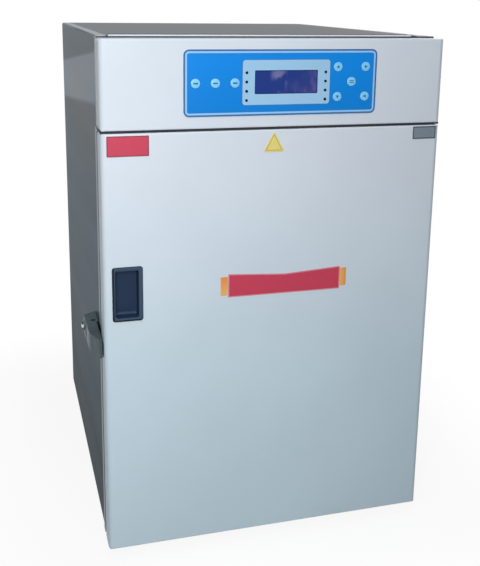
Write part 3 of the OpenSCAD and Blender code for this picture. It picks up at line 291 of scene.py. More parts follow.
def fit(piece, body, finish, stands_for=()):
    """Rides a new piece on its body, gives it its finish and hides the nodes that it stands for."""
    piece.data.materials.clear()
    piece.data.materials.append(finish)
    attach(piece, body)
    if stands_for:
        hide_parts(*stands_for)
    return piece


def repaint(finish, *nodes, soft=0.0004):
    """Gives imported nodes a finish, and breaks their sharp edges where soft isn't 0."""
    for node in nodes:
        shown = frame["nodes"][node]
        for material_slot in shown.material_slots:
            material_slot.material = finish
        if soft:
            soften(shown, soft)


def soften(shown, width):
    """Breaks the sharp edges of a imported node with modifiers, which leave its mesh as it is."""
    weld = shown.modifiers.new("Weld", "WELD")
    weld.merge_threshold = 0.00001
    dissolve = shown.modifiers.new("Flat faces", "DECIMATE")
    dissolve.decimate_type = "DISSOLVE"
    dissolve.angle_limit = math.radians(0.6)
    bevel = shown.modifiers.new("Broken edges", "BEVEL")
    bevel.width = width
    bevel.segments = 2
    bevel.limit_method = "ANGLE"
    bevel.angle_limit = math.radians(35)
    bevel.harden_normals = True


# Shader maths


class Value:
    """A number that varies over a surface. Python's signs on it add Math nodes."""

    def __init__(self, tree, source):
        self.tree = tree
        self.source = source

    def _sum(self, operation, first, second=0.0, third=0.0):
        return self.tree.node("ShaderNodeMath", {"operation": operation}, {0: first, 1: second, 2: third})

    def __add__(self, other):
        return self._sum("ADD", self, other)

    __radd__ = __add__

    def __sub__(self, other):
        return self._sum("SUBTRACT", self, other)

    def __rsub__(self, other):
        return self._sum("SUBTRACT", other, self)

    def __mul__(self, other):
        return self._sum("MULTIPLY", self, other)

    __rmul__ = __mul__

    def __truediv__(self, other):
        return self._sum("DIVIDE", self, other)

    def __rtruediv__(self, other):
        return self._sum("DIVIDE", other, self)

    def __pow__(self, other):
        return self._sum("POWER", self, other)

    def __neg__(self):
        return self._sum("SUBTRACT", 0.0, self)

    def __abs__(self):
        return self._sum("ABSOLUTE", self)

    def least(self, other):
        return self._sum("MINIMUM", self, other)

    def most(self, other):
        return self._sum("MAXIMUM", self, other)

    def root(self):
        return self._sum("SQRT", self)

    def rise(self, low, high):
        """0 below low, 1 above high and smooth between them."""
        settings = {"interpolation_type": "SMOOTHSTEP"}
        inputs = {"Value": self, "From Min": low, "From Max": high}
        return self.tree.node("ShaderNodeMapRange", settings, inputs)

    def near(self, edge, blend):
        """0 before an edge, 1 after it and smooth over a blend on either side."""
        return self.rise(edge - blend, edge + blend)


class NodeTree:
    """Nodes that are made by one method, for a material or the world."""

    def __init__(self, tree):
        self.tree = tree
        tree.nodes.clear()

    def node(self, kind, settings=None, inputs=None, output=0):
        """Adds a node, sets it up, feeds its sockets and returns one of its outputs."""
        added = self.tree.nodes.new(kind)
        for key, setting in (settings or {}).items():
            setattr(added, key, setting)
        for key, value in (inputs or {}).items():
            if isinstance(value, Value):
                self.tree.links.new(value.source, added.inputs[key])
            else:
                added.inputs[key].default_value = value
        return Value(self, added.outputs[output]) if added.outputs else None

    def mix(self, factor, first, second):
        """Blends two colours."""
        colours = [c if isinstance(c, Value) else (*c[:3], 1.0) for c in (first, second)]
        settings = {"data_type": "RGBA", "clamp_factor": True}
        return self.node("ShaderNodeMix", settings, {0: factor, 6: colours[0], 7: colours[1]}, 2)

    def scaled(self, vector, factors):
        """A vector with each of its parts multiplied by a factor."""
        return self.node("ShaderNodeVectorMath", {"operation": "MULTIPLY"}, {0: vector, 1: factors})

    def noise(self, vector, scale, detail=2.0, roughness=0.5):
        """Soft noise about 0.5."""
        inputs = {"Vector": vector, "Scale": scale, "Detail": detail, "Roughness": roughness}
        return self.node("ShaderNodeTexNoise", None, inputs)

    def parts(self, vector):
        """The x, y and z of a vector."""
        split = self.node("ShaderNodeSeparateXYZ", None, {0: vector})
        outputs = split.source.node.outputs
        return [Value(self, outputs[axis]) for axis in range(3)]

    def rays(self):
        """Whether a ray comes from the camera, and whether it comes from there, a mirror or glass."""
        outputs = self.node("ShaderNodeLightPath").source.node.outputs
        kinds = ("Is Camera Ray", "Is Glossy Ray", "Is Transmission Ray")
        seen, mirrored, through = [Value(self, outputs[kind]) for kind in kinds]
        return seen, (seen + mirrored + through).least(1.0)


class Finish(NodeTree):
    """A material in the making: one main shader and the nodes that feed it."""

    def __init__(self, name):
        self.material = bpy.data.materials.new(name)
        self.material.use_nodes = True
        super().__init__(self.material.node_tree)
        self.place = self.node("ShaderNodeTexCoord", None, None, 3)

    def bump(self, height, distance, strength=1.0):
        """Shading normals that follow a height, 0 to 1, over a distance in metres."""
        inputs = {"Height": height, "Distance": distance, "Strength": strength}
        return self.node("ShaderNodeBump", None, inputs)

    def surface(self, base, roughness, metallic=0.0, normal=None, **others):
        """Joins everything to the main shader and returns the finished material."""
        inputs = {
            "Base Color": base if isinstance(base, Value) else (*base[:3], 1.0),
            "Roughness": roughness,
            "Metallic": metallic,
        }
        if normal:
            inputs["Normal"] = normal
        inputs.update({key.replace("_", " "): value for key, value in others.items()})
        shader = self.node("ShaderNodeBsdfPrincipled", None, inputs)
        self.node("ShaderNodeOutputMaterial", None, {"Surface": shader})
        return self.material


def darker(shade, share):
    """A share of a colour."""
    return tuple(channel * share for channel in shade)


def rounded_distance(across, up, centre, size, radius):
    """Distance from the outline of a rounded rectangle, less than 0 inside it."""
    beyond = abs(across - centre[0]) - (size[0] / 2 - radius)
    above = abs(up - centre[1]) - (size[1] / 2 - radius)
    outer = (beyond.most(0.0) ** 2 + above.most(0.0) ** 2).root()
    return outer + beyond.most(above).least(0.0) - radius


# Finishes


def powder_coat(name, high_shade, cool_shade_tint):
    """Sprayed and baked enamel with a fine orange peel, with painted shade that makes it a little cooler
    low on the door.
    """
    coat = Finish(name)
    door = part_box("door_skin")
    height = coat.parts(coat.place)[2]
    # Painted shade: the coat turns cooler towards the lower part of the door.
    shade = coat.mix(height.rise(0.35 * door[1].z, door[1].z), cool_shade_tint, high_shade)
    peel = coat.noise(coat.place, 620.0, 2.0)
    cloud = coat.noise(coat.place, 5.0, 3.0)
    clouded = cloud.rise(0.3, 0.7) * 0.035 + 0.965
    base = coat.node("ShaderNodeVectorMath", {"operation": "SCALE"}, {0: shade, "Scale": clouded})
    rough = 0.3 + peel * 0.1 + cloud * 0.08
    normal = coat.bump(peel, 0.00012, 0.35)
    return coat.surface(base, rough, normal=normal, Specular_IOR_Level=0.15)


def brushed(name, shade, grain, rough, depth, tint):
    """Brushed steel sheet. Grain has small factors along the brush lines and large ones across."""
    steel = Finish(name)
    lines = steel.noise(steel.scaled(steel.place, grain), 1.0, 4.0, 0.65)
    fine = steel.noise(steel.scaled(steel.place, tuple(3.7 * g for g in grain)), 1.0, 2.0)
    cloud = steel.noise(steel.place, 6.0, 3.0)
    tone = (lines - 0.5) * depth * 2 + (fine - 0.5) * depth + (cloud - 0.5) * 0.12
    base = steel.mix(tone + 0.5, darker(shade, 0.6), darker(shade, 1.4))
    roughness = rough + (lines - 0.5) * 0.16 + (cloud - 0.5) * 0.1
    normal = steel.bump(lines, 0.00005, 0.25)
    return steel.surface(base, roughness, 1.0, normal, Specular_Tint=(tint, tint, tint, 1.0))


def cabinet_steel(name, shade):
    """Brushed sheet of the cabinet with paler laps along its top, and painted reflections: level streaks,
    a pale sloping strip, a brownish cast high up and a tone that darkens towards its foot.
    """
    steel = Finish(name)
    across, along, up = steel.parts(steel.place)
    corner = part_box("cabinet_wrap")[1]
    lying = up.rise(corner.z - 0.0006, corner.z - 0.0002)
    grain = steel.noise(steel.scaled(steel.place, (60.0, 520.0, 7.0)), 1.0, 4.0, 0.65)
    cloud = steel.noise(steel.scaled(steel.place, (5.0, 2.5, 6.0)), 1.0, 3.0)
    # Painted reflections: soft level streaks on the sides.
    reflection_streaks = steel.noise(steel.scaled(steel.place, (0.0, 0.5, 11.0)), 1.0, 2.0)
    # Painted reflection: the tone darkens towards the foot of the sheet, with cloud and grain at random.
    height = up / corner.z
    tone = 0.20 + height * 0.88 + (cloud - 0.5) * 0.2 + (grain - 0.5) * 0.22
    # Painted reflection: a pale strip that slopes across the sides.
    slope, pale_reflection_foot, pale_reflection_top = 0.09, 0.751, 0.832
    level = up + along * slope
    pale_reflection = level.near(pale_reflection_foot, 0.006) * (1 - level.near(pale_reflection_top, 0.004))
    tone = tone + pale_reflection * 0.7 + (reflection_streaks - 0.5) * 0.5 * (1 - lying)
    lap_width, groove_edge = 0.0170, 0.0184
    inwards = corner.x - abs(across)
    lap = 1 - inwards.near(lap_width, 0.0002)
    groove = (1 - inwards.near(groove_edge, 0.0004)) * (1 - lap)
    tone = tone + (lap * 1.3 - groove * 0.8) * lying
    # Painted reflection: a brownish cast on the top, high on the sides and in the pale sloping strip.
    brownish_reflection = steel.mix(cloud.rise(0.35, 0.65), linear(134, 136, 140), linear(142, 132, 124))
    brownish_reflection_share = lying.most(height.rise(0.5, 0.95) * 0.8).most(pale_reflection * 0.7) * 0.8
    base = steel.mix(brownish_reflection_share, shade, brownish_reflection)
    base = steel.node("ShaderNodeVectorMath", {"operation": "SCALE"}, {0: base, "Scale": tone})
    roughness = 0.36 + (grain - 0.5) * 0.16 + (cloud - 0.5) * 0.08
    normal = steel.bump(grain, 0.00005, 0.25)
    return steel.surface(base, roughness, 1.0, normal, Specular_Tint=(0.29, 0.31, 0.33, 1.0))


def polished(name, shade, rough):
    """Smooth bright metal with faint hazing."""
    metal = Finish(name)
    haze = metal.noise(metal.place, 40.0, 4.0)
    scratch = metal.noise(metal.scaled(metal.place, (900.0, 60.0, 900.0)), 1.0, 2.0)
    base = metal.mix(haze.rise(0.25, 0.75), darker(shade, 0.9), shade)
    return metal.surface(base, rough + haze * 0.12 + (scratch - 0.5) * 0.06, 1.0)


def coated_sheet(name, shade):
    """Plain coated or galvanised sheet with a soft spangle."""
    sheet = Finish(name)
    spangle = sheet.node("ShaderNodeTexVoronoi", None, {"Vector": sheet.place, "Scale": 110.0}, 1)
    patch = sheet.node("ShaderNodeRGBToBW", None, {0: spangle})
    cloud = sheet.noise(sheet.place, 9.0, 3.0)
    base = sheet.mix(patch * 0.6 + cloud * 0.4, darker(shade, 0.86), darker(shade, 1.08))
    return sheet.surface(base, 0.42 + patch * 0.12, 0.4)


def lock_finish(name, shade):
    """Plated lock barrel with its reflection painted on: near-black, with a bright, more metallic line
    round its middle.
    """
    lock = Finish(name)
    up = lock.parts(lock.place)[2]
    # Painted reflection: a bright line round the middle of the barrel and near-black elsewhere.
    half_glint = 0.0024
    painted_glint = 1 - abs(up - middle(*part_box("lock_barrel")).z).near(half_glint, 0.0004)
    fine = lock.noise(lock.place, 900.0, 3.0)
    base = lock.mix(painted_glint, darker(shade, 0.04), shade)
    return lock.surface(base, 0.5 - painted_glint * 0.3 + fine * 0.1, 0.3 + painted_glint * 0.7)


def cast_looks(cast, shade):
    """The colour, roughness and normal of a casting with a fine grain and paler worn edges."""
    grain = cast.noise(cast.place, 1400.0, 3.0)
    cloud = cast.noise(cast.place, 60.0, 3.0)
    pointed = cast.node("ShaderNodeNewGeometry", None, None, 7)
    worn = pointed.rise(0.52, 0.6) * cloud.rise(0.35, 0.65)
    base = cast.mix(worn * 0.5 + grain * 0.25, shade, darker(shade, 1.9))
    return base, 0.46 + grain * 0.12 - worn * 0.1, cast.bump(grain, 0.00008, 0.4)


def cast_metal(name, shade):
    """Dark cast metal."""
    cast = Finish(name)
    base, roughness, normal = cast_looks(cast, shade)
    return cast.surface(base, roughness, 0.6, normal)


def latch_finish(name, shade):
    """Cast latch with painted shade: darker towards its front end, with a near-black painted shadow in
    the hole of its pin on top.
    """
    cast = Finish(name)
    base, roughness, normal = cast_looks(cast, shade)
    across, along, up = cast.parts(cast.place)
    low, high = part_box("latch_lever")
    # Painted shade: the latch darkens towards its front end.
    painted_front_shade = 1 - (along - low.y).rise(0.0385, 0.0685)
    base = cast.mix(painted_front_shade * 0.35, base, darker(shade, 0.3))
    # Painted shadow: near-black, rough and not metallic over the hole of the pin on top.
    pin_inset, pin_ahead, pin_radius = 0.0067, 0.0115, 0.0039
    pin_x, pin_y = high.x - pin_inset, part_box("latch_base")[0].y + pin_ahead
    reach = ((across - pin_x) ** 2 + (along - pin_y) ** 2).root()
    painted_pin_shadow = (1 - reach.near(pin_radius, 0.0003)) * up.near(high.z - 0.003, 0.001)
    base = cast.mix(painted_pin_shadow, base, darker(shade, 0.02))
    return cast.surface(base, roughness + painted_pin_shadow * 0.5, (1 - painted_pin_shadow) * 0.6, normal)


def moulded(name, shade, rough, grain=900.0, depth=0.00008, coat=0.0, shine=0.5):
    """Moulded plastic with a fine spark-eroded texture."""
    plastic = Finish(name)
    fine = plastic.noise(plastic.place, grain, 2.0)
    cloud = plastic.noise(plastic.place, 30.0, 2.0)
    base = plastic.mix(fine * 0.4 + cloud * 0.6, darker(shade, 0.93), darker(shade, 1.05))
    roughness = rough + (fine - 0.5) * 0.14
    normal = plastic.bump(fine, depth, 0.3)
    return plastic.surface(base, roughness, normal=normal, Coat_Weight=coat, Specular_IOR_Level=shine)


def pocket_finish(name, colours):
    """Moulded pull cup: a slate-blue rim with a painted shadow along its left and lower outline, and a
    well in painted shade, lighter lower down.
    """
    cup = Finish(name)
    across, along, up = cup.parts(cup.place)
    low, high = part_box("pull_cup")
    behind = (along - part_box("door_skin")[0].y).rise(-0.0003, 0.0012)
    fine = cup.noise(cup.place, 1100.0, 2.0)
    cloud = cup.noise(cup.place, 45.0, 3.0)
    # Painted shade: the well takes the darker colour, lighter lower down and varied at random.
    height = (up - low.z) / (high.z - low.z)
    deep = cloud * 0.7 + (1 - height) * 0.3
    well = cup.mix(deep, darker(colours.well, 0.8), darker(colours.well, 1.2))
    rim = cup.mix(fine * 0.5 + cloud * 0.5, darker(colours.pocket, 0.85), darker(colours.pocket, 1.1))
    # Painted shadow: a near-black line along the rim's left and lower outline, thinner along its other
    # sides.
    aside, corner = 0.0011, 0.004
    centre = middle(low, high)
    spot = (centre.x + aside, centre.z + aside)
    inside = -rounded_distance(across, up, spot, front_size(low, high), corner)
    rim = cup.mix(1 - inside.rise(0.0013, 0.0024), rim, darker(colours.well, 0.15))
    base = cup.mix(behind, rim, well)
    normal = cup.bump(fine, 0.00006, 0.3)
    return cup.surface(base, 0.46 + (fine - 0.5) * 0.14, normal=normal, Specular_IOR_Level=0.2)


def rubber(name, shade, rough=0.72):
    """Soft extruded rubber with a dusty bloom."""
    soft = Finish(name)
    dust = soft.noise(soft.place, 140.0, 4.0)
    fine = soft.noise(soft.place, 1800.0, 2.0)
    base = soft.mix(dust.rise(0.4, 0.8) * 0.5, shade, darker(shade, 1.7))
    return soft.surface(base, rough + (dust - 0.5) * 0.16, normal=soft.bump(fine, 0.00006, 0.4))


def foot_finish(name, rubber_shade, steel_shade):
    """Rubber pads below a plated stem and nut, told apart by height."""
    foot = Finish(name)
    pad_top = 0.011
    metal = foot.parts(foot.place)[2].near(pad_top, 0.0002)
    dust = foot.noise(foot.place, 160.0, 3.0)
    pad = foot.mix(dust * 0.5, rubber_shade, darker(rubber_shade, 1.6))
    base = foot.mix(metal, pad, steel_shade)
    return foot.surface(base, 0.75 - metal * 0.42 + (dust - 0.5) * 0.1, metal)


def foam_finish(name, shade):
    """Cast rigid foam with small cells."""
    foam = Finish(name)
    cells = foam.node("ShaderNodeTexVoronoi", None, {"Vector": foam.place, "Scale": 700.0})
    cloud = foam.noise(foam.place, 14.0, 3.0)
    base = foam.mix(cells * 0.6 + cloud * 0.4, darker(shade, 0.78), darker(shade, 1.04))
    return foam.surface(base, 0.9, normal=foam.bump(cells, 0.0004, 0.5))


def circuit_finish(name, shade):
    """Lacquered board with fine copper tracks."""
    board = Finish(name)
    inputs = {"Vector": board.place, "Scale": 55.0, "Mortar Size": 0.03}
    tracks = board.node("ShaderNodeTexBrick", {"offset": 0.5}, inputs, 1)
    cloud = board.noise(board.place, 90.0, 2.0)
    base = board.mix(tracks * 0.5 + cloud * 0.2, shade, darker(shade, 2.2))
    return board.surface(base, 0.35 + cloud * 0.15, Coat_Weight=0.3)


def glass_finish(name):
    """Clear toughened glass, greener and less clear at a slant."""
    glass = Finish(name)
    slant = glass.node("ShaderNodeLayerWeight", None, {"Blend": 0.35}, 1)
    film = glass.noise(glass.place, 8.0, 3.0)
    alpha = 0.14 + slant * 0.5 + (film - 0.5) * 0.04
    base = glass.mix(slant, linear(214, 232, 230), linear(150, 190, 184))
    return glass.surface(base, 0.04 + film * 0.03, Alpha=alpha)


def overlay_print(name, colours, overlay, window):
    """Printed polyester: a dark line, a light line, a blue field and a pale bezel round the display."""
    printed = Finish(name)
    across, _, up = printed.parts(printed.place)
    centre, size, corner = middle(*overlay), front_size(*overlay), 0.009
    inside = -rounded_distance(across, up, (centre.x, centre.z), size, corner)
    sight = middle(*window)
    bezel_size, bezel_corner = (0.1460, 0.0704), 0.0045
    bezel_spot = (sight.x + 0.0003, sight.z - 0.0004)
    bezel = rounded_distance(across, up, bezel_spot, bezel_size, bezel_corner)
    grain = printed.noise(printed.place, 1500.0, 2.0)
    cloud = printed.noise(printed.scaled(printed.place, (6.0, 6.0, 16.0)), 1.0, 2.0)
    paler = (up - overlay[0].z) / size[1] * 0.6 + cloud * 0.4
    field = printed.mix(paler, darker(colours.overlay, 0.86), darker(colours.overlay, 1.14))
    near_line = 1 - inside.rise(0.0062, 0.0095)
    field = printed.mix(near_line * 0.35, field, colours.overlay_dark)
    near_bezel = 1 - bezel.rise(0.0004, 0.0042)
    field = printed.mix(near_bezel * 0.35, field, colours.overlay_dark)
    blend = 0.0002
    base = printed.mix(1 - bezel.near(0.0, blend), field, colours.bezel)
    dark_line, light_line = 0.0026, 0.0056
    light = inside.near(dark_line, blend) * (1 - inside.near(light_line, blend))
    base = printed.mix(light, base, colours.overlay_light)
    base = printed.mix(1 - inside.near(dark_line, blend), base, colours.overlay_dark)
    normal = printed.bump(grain, 0.00004, 0.3)
    return printed.surface(base, 0.36 + (grain - 0.5) * 0.1, normal=normal, Specular_IOR_Level=0.2)


def display_finish(name, colours, window):
    """Unlit display: a dark blue window with a darker edge, a violet cast and painted reflections as
    faint pale clouds.
    """
    sight = Finish(name)
    across, _, up = sight.parts(sight.place)
    low, high = window
    centre = middle(low, high)
    lap, corner = 0.0048, 0.001
    inside = -rounded_distance(across, up, (centre.x, centre.z), front_size(low, high, lap), corner)
    violet = (across - low.x) / (high.x - low.x) - (up - low.z) / (high.z - low.z) * 0.4
    base = sight.mix(violet.rise(0.3, 1.0) * 0.4, colours.display, linear(72, 72, 138))
    flat = sight.node("ShaderNodeCombineXYZ", None, {0: across, 1: up, 2: 0.0})
    dots = sight.node("ShaderNodeTexBrick", {"offset": 0.0}, {"Vector": flat, "Scale": 620.0}, 1)
    base = sight.mix(dots * 0.12, base, darker(colours.display, 0.6))
    # Painted reflections: pale clouds on the glass, strongest in a patch left of the middle and towards
    # the violet side.
    cloud = sight.noise(sight.scaled(sight.place, (70.0, 1.0, 38.0)), 1.0, 3.0)
    reflection_spot, reflection_size = (centre.x - 0.012, centre.z + 0.003), (0.012, 0.028)
    patch = 1 - rounded_distance(across, up, reflection_spot, reflection_size, 0.005).rise(0.0, 0.012)
    base = sight.mix(cloud.rise(0.42, 0.62) * patch * 0.45, base, linear(158, 152, 190))
    reflection_haze = cloud.rise(0.35, 0.7) * violet.rise(0.25, 0.8) * 0.4
    base = sight.mix(reflection_haze, base, linear(128, 118, 166))
    base = sight.mix(1 - inside.rise(0.0002, 0.0022), base, linear(20, 30, 86))
    return sight.surface(base, 0.14 + cloud * 0.05, Specular_IOR_Level=0.12)


# Plain plates on the door: where the middle of each lies, across and up, then its width and height
PLATES = {
    "red_plate": (-0.2442, 0.71925, 0.0656, 0.0322),
    "yellow_plate": (-0.0082, 0.7195, 0.0365, 0.0340),
    "grey_plate": (0.2582, 0.7265, 0.0425, 0.0215),
    "red_strip": (0.0163, 0.4812, 0.1964, 0.0398),
    "amber_left": (-0.0889, 0.4810, 0.0122, 0.0318),
    "amber_right": (0.1203, 0.4822, 0.0118, 0.0316),
}
STRIP_DIP = 0.0061
PLATE_CHAMFER = 0.0002


def inside_rectangle(spot, across, up):
    """Distance in from the outline of a rectangular plate."""
    x, z, width, height = spot
    return -rounded_distance(across, up, (x, z), (width, height), 0.001)


def inside_banner(spot, across, up):
    """Distance in from the outline of a strip whose upper edge dips in the middle."""
    x, z, width, height = spot
    upper = z + height / 2 - STRIP_DIP + abs(across - x) * (2 * STRIP_DIP / width)
    beside = width / 2 - abs(across - x)
    return beside.least(upper - up).least(up - (z - height / 2))


def inside_triangle(spot, across, up):
    """Distance in from the outline of a triangular plate that stands on its base."""
    x, z, width, height = spot
    slope = math.atan2(height, width / 2)
    flank = (z + height / 2 - up) * math.cos(slope) - abs(across - x) * math.sin(slope)
    return flank.least(up - (z - height / 2))


def plate_finish(name, shade, inside_of, line, line_from, line_to):
    """Enamelled plate with one printed line, whose edges lie at two distances from its outline."""
    enamel = Finish(name)
    speck = enamel.noise(enamel.place, 260.0, 3.0)
    base = enamel.mix(speck, darker(shade, 0.9), darker(shade, 1.08))
    across, _, up = enamel.parts(enamel.place)
    inside = inside_of(PLATES[name], across, up)
    blend = 0.0003
    printed = inside.rise(line_from, line_from + blend) * (1 - inside.rise(line_to, line_to + blend))
    base = enamel.mix(printed, base, line)
    return enamel.surface(base, 0.38 + speck * 0.1, Specular_IOR_Level=0.35)


def amber_finish(name, shade, left, right):
    """Amber enamel that fades to yellow: down the left block and across the right one."""
    amber = Finish(name)
    across, _, up = amber.parts(amber.place)
    foot = 1 - ((up - left[1]) / left[3]).rise(-0.5, 0.4)
    inner = 1 - ((across - right[0]) / right[2]).rise(-0.5, 0.5)
    on_right = across.near(0.0, 0.001)
    speck = amber.noise(amber.place, 300.0, 2.0)
    yellow = foot * (1 - on_right) + inner * on_right
    base = amber.mix(yellow * 0.5, darker(shade, 0.95), linear(240, 206, 124))
    return amber.surface(base, 0.38 + speck * 0.1, Specular_IOR_Level=0.35)


# Pieces


def front_shell_rings(width, height, depth, sizes):
    """Rings over the front, the folds and the sides of a front box, from its face to its back edge.

    The sides curve over the edge radius and the top and bottom over the fold radius.
    """
    edge, hem, fold = sizes.edge, sizes.fold, sizes.rear_fold
    flat, steps = 0.0006, 8
    face = (width - 2 * (edge + flat), height - 2 * (hem + flat))
    rings = [rounded_rect(*face, 0.35 * sizes.corner, 0.0)]
    for step in range(steps + 1):
        draw_in = 1 - math.cos(math.radians(90 * (1 - step / steps)))
        radius = sizes.corner * (0.4 + 0.6 * step / steps)
        outline = rounded_rect(width - 2 * edge * draw_in, height - 2 * hem * draw_in, radius, 0.0)
        ring = []
        for u, v, _ in outline:
            back = max(drop(width / 2 - abs(u), edge), drop(height / 2 - abs(v), hem))
            ring.append((u, v, -back))
        rings.append(ring)
    straight = 0.0008
    rings.append([(u, v, d - straight) for u, v, d in rings[-1]])
    for inset, ahead in ((0.0, fold), (0.3 * fold, 0.3 * fold), (fold, 0.0)):
        ring = rounded_rect(width - 2 * inset, height - 2 * inset, sizes.corner - inset, ahead - depth)
        rings.append(ring)
    return rings


def drop(inset, radius):
    """How far a rounded edge lies behind its flat, at an inset from the outline."""
    return radius - math.sqrt(max(0.0, radius**2 - max(0.0, radius - inset) ** 2))


def inner_rings(rings, skin, width, height):
    """The inside of a shell: the same rings drawn in by the sheet thickness, in the other order."""
    across, upward = 1 - 2 * skin / width, 1 - 2 * skin / height
    return [[(u * across, v * upward, d - skin) for u, v, d in ring] for ring in reversed(rings)]


class PieceOperator:
    """What the operators share."""

    bl_options = {"REGISTER"}


class INCUBATOR_OT_header(PieceOperator, Operator):
    """Makes the header's white shell, with its opening behind the overlay and its neck"""

    bl_idname = "incubator.header"
    bl_label = "Header shell"

    def execute(self, context):
        sizes = context.scene.incubator_sizes
        skin = sizes.skin
        low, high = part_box("header_fascia")
        door_low, door_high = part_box("door_skin")
        top = high.z - sizes.header_drop
        face = Vector((0.0, low.y, (low.z + top) / 2))
        width, height, depth = high.x - low.x, top - low.z, door_high.y - door_low.y
        outer = front_shell_rings(width, height, depth, sizes)
        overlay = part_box("keypad_overlay")
        opening_corner, neck_corner = 0.006, 0.001
        opening = (*front_size(*overlay, sizes.overlay_lap), opening_corner)
        shift = (middle(*overlay).x, middle(*overlay).z - face.z)
        neck_low, neck_high = neck_box(sizes)
        neck = (*front_size(neck_low, neck_high), neck_corner)
        neck_middle = middle(neck_low, neck_high)
        neck_shift = (neck_middle.x, neck_middle.z - face.z)
        bore_top = top - skin - 2 * sizes.rear_fold
        bore = (neck[0] - 2 * skin, bore_top - neck_low.z - skin, neck_corner)
        bore_shift = (neck_middle.x, (bore_top + neck_low.z + skin) / 2 - face.z)
        reach = high.y - low.y
        rings = [rounded_rect(*opening, 0.0, shift), *outer]
        rings += [rounded_rect(*neck, back, neck_shift) for back in (-depth, -reach)]
        rings += [rounded_rect(*bore, back, bore_shift) for back in (-reach, skin - depth)]
        rings += inner_rings(outer[:-3], skin, width, height)
        rings.append(rounded_rect(*opening, -skin, shift))
        shell = loft("header_shell", rings, FRONT, face, closed=True)
        fit(shell, "cabinet", finishes()["enamel"], ["header_fascia"])
        return {"FINISHED"}


def neck_box(sizes):
    """Lowest and highest corner of the narrow neck behind the header, between the frame's blocks."""
    low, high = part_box("header_fascia")
    neck_left, neck_right, neck_low = 0.020, 0.043, 0.008
    return (
        Vector((low.x + neck_left, low.y, low.z + neck_low)),
        Vector((high.x - neck_right, high.y, high.z + sizes.neck_rise)),
    )


class INCUBATOR_OT_header_gap_shadows(PieceOperator, Operator):
    """Makes dark strips above and below the header's front box and a dark bead behind its neck: painted
    shade in the gaps there
    """

    bl_idname = "incubator.header_seals"
    bl_label = "Header gap shadows"

    def execute(self, context):
        sizes = context.scene.incubator_sizes
        low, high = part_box("header_fascia")
        door_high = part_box("door_skin")[1]
        back = door_high.y
        neck_low, neck_high = neck_box(sizes)
        # Painted shade: a dark strip in the gap above the header's front box.
        tall = sizes.header_drop - 0.0010
        width = high.x - low.x - 2 * sizes.rear_fold
        centre = Vector((0.0, back, high.z - sizes.header_drop + tall / 2))
        strip = plate("header_top_shadow", FRONT, centre, width, tall + 0.0006, 0.0004, 0.0007, 0.0001)
        fit(strip, "cabinet", finishes()["rubber"])
        # Painted shade: a dark bead along the line behind the neck.
        bead = 0.0026
        rise = sizes.neck_rise + 0.0008
        centre = Vector((middle(neck_low, neck_high).x, high.y + bead / 2, high.z))
        run = plate("neck_shadow", TOP, centre, neck_high.x - neck_low.x, bead, 0.0006, rise, 0.0004)
        fit(run, "cabinet", finishes()["rubber"])
        # Painted shade: a near-black strip in the gap between the header and the door.
        clear, setback = 0.0008, 0.0040
        tall = low.z - door_high.z - clear
        width = high.x - low.x - 0.001
        centre = Vector((0.0, back, low.z - tall / 2))
        deep = back - low.y - setback
        sill = plate("header_sill_shadow", FRONT, centre, width, tall, 0.0004, deep, 0.0003)
        fit(sill, "cabinet", finishes()["black_rubber"])
        return {"FINISHED"}


class INCUBATOR_OT_trims(PieceOperator, Operator):
    """Makes the steel edge strips on the strike side, above and below the latch"""

    bl_idname = "incubator.trims"
    bl_label = "Edge strips"

    def execute(self, context):
        frame_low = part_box("front_frame")[0]
        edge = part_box("door_skin")[0].x
        header_low, header_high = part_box("header_fascia")
        latch_low, latch_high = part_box("latch_base")
        clear, deep, let_in = 0.012, 0.015, 0.0002
        runs = {
            "edge_strip_lower": (frame_low.z + 0.002, latch_low.z - clear),
            "edge_strip_upper": (latch_high.z + clear, header_low.z),
        }
        thick = frame_low.x - edge + let_in
        for name, (foot, top) in runs.items():
            centre = Vector((frame_low.x + let_in, header_high.y + deep / 2, (foot + top) / 2))
            strip = plate(name, LEFT, centre, deep, top - foot, 0.0012, thick, 0.0004)
            fit(strip, "cabinet", finishes()["trim"])
        return {"FINISHED"}


class INCUBATOR_OT_door(PieceOperator, Operator):
    """Makes the door's white shell, with its opening for the pull cup"""

    bl_idname = "incubator.door"
    bl_label = "Door shell"

    def execute(self, context):
        sizes = context.scene.incubator_sizes
        low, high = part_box("door_skin")
        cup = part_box("pull_cup")
        face = front_middle(low, high, low.y)
        bush_proud = 0.0002
        width, height, depth = high.x - low.x, high.z - low.z - 2 * bush_proud, high.y - low.y
        outer = front_shell_rings(width, height, depth, sizes)
        shift = (middle(*cup).x, middle(*cup).z - face.z)
        cup_lap, opening_corner = 0.005, 0.004
        opening = (*front_size(*cup, cup_lap), opening_corner)
        rings = [rounded_rect(*opening, 0.0, shift), *outer]
        rings += inner_rings(outer[:-2], sizes.skin, width, height)
        rings.append(rounded_rect(*opening, -sizes.skin, shift))
        shell = loft("door_shell", rings, FRONT, face, closed=True)
        fit(shell, "outer_door", finishes()["enamel"], ["door_skin"])
        return {"FINISHED"}


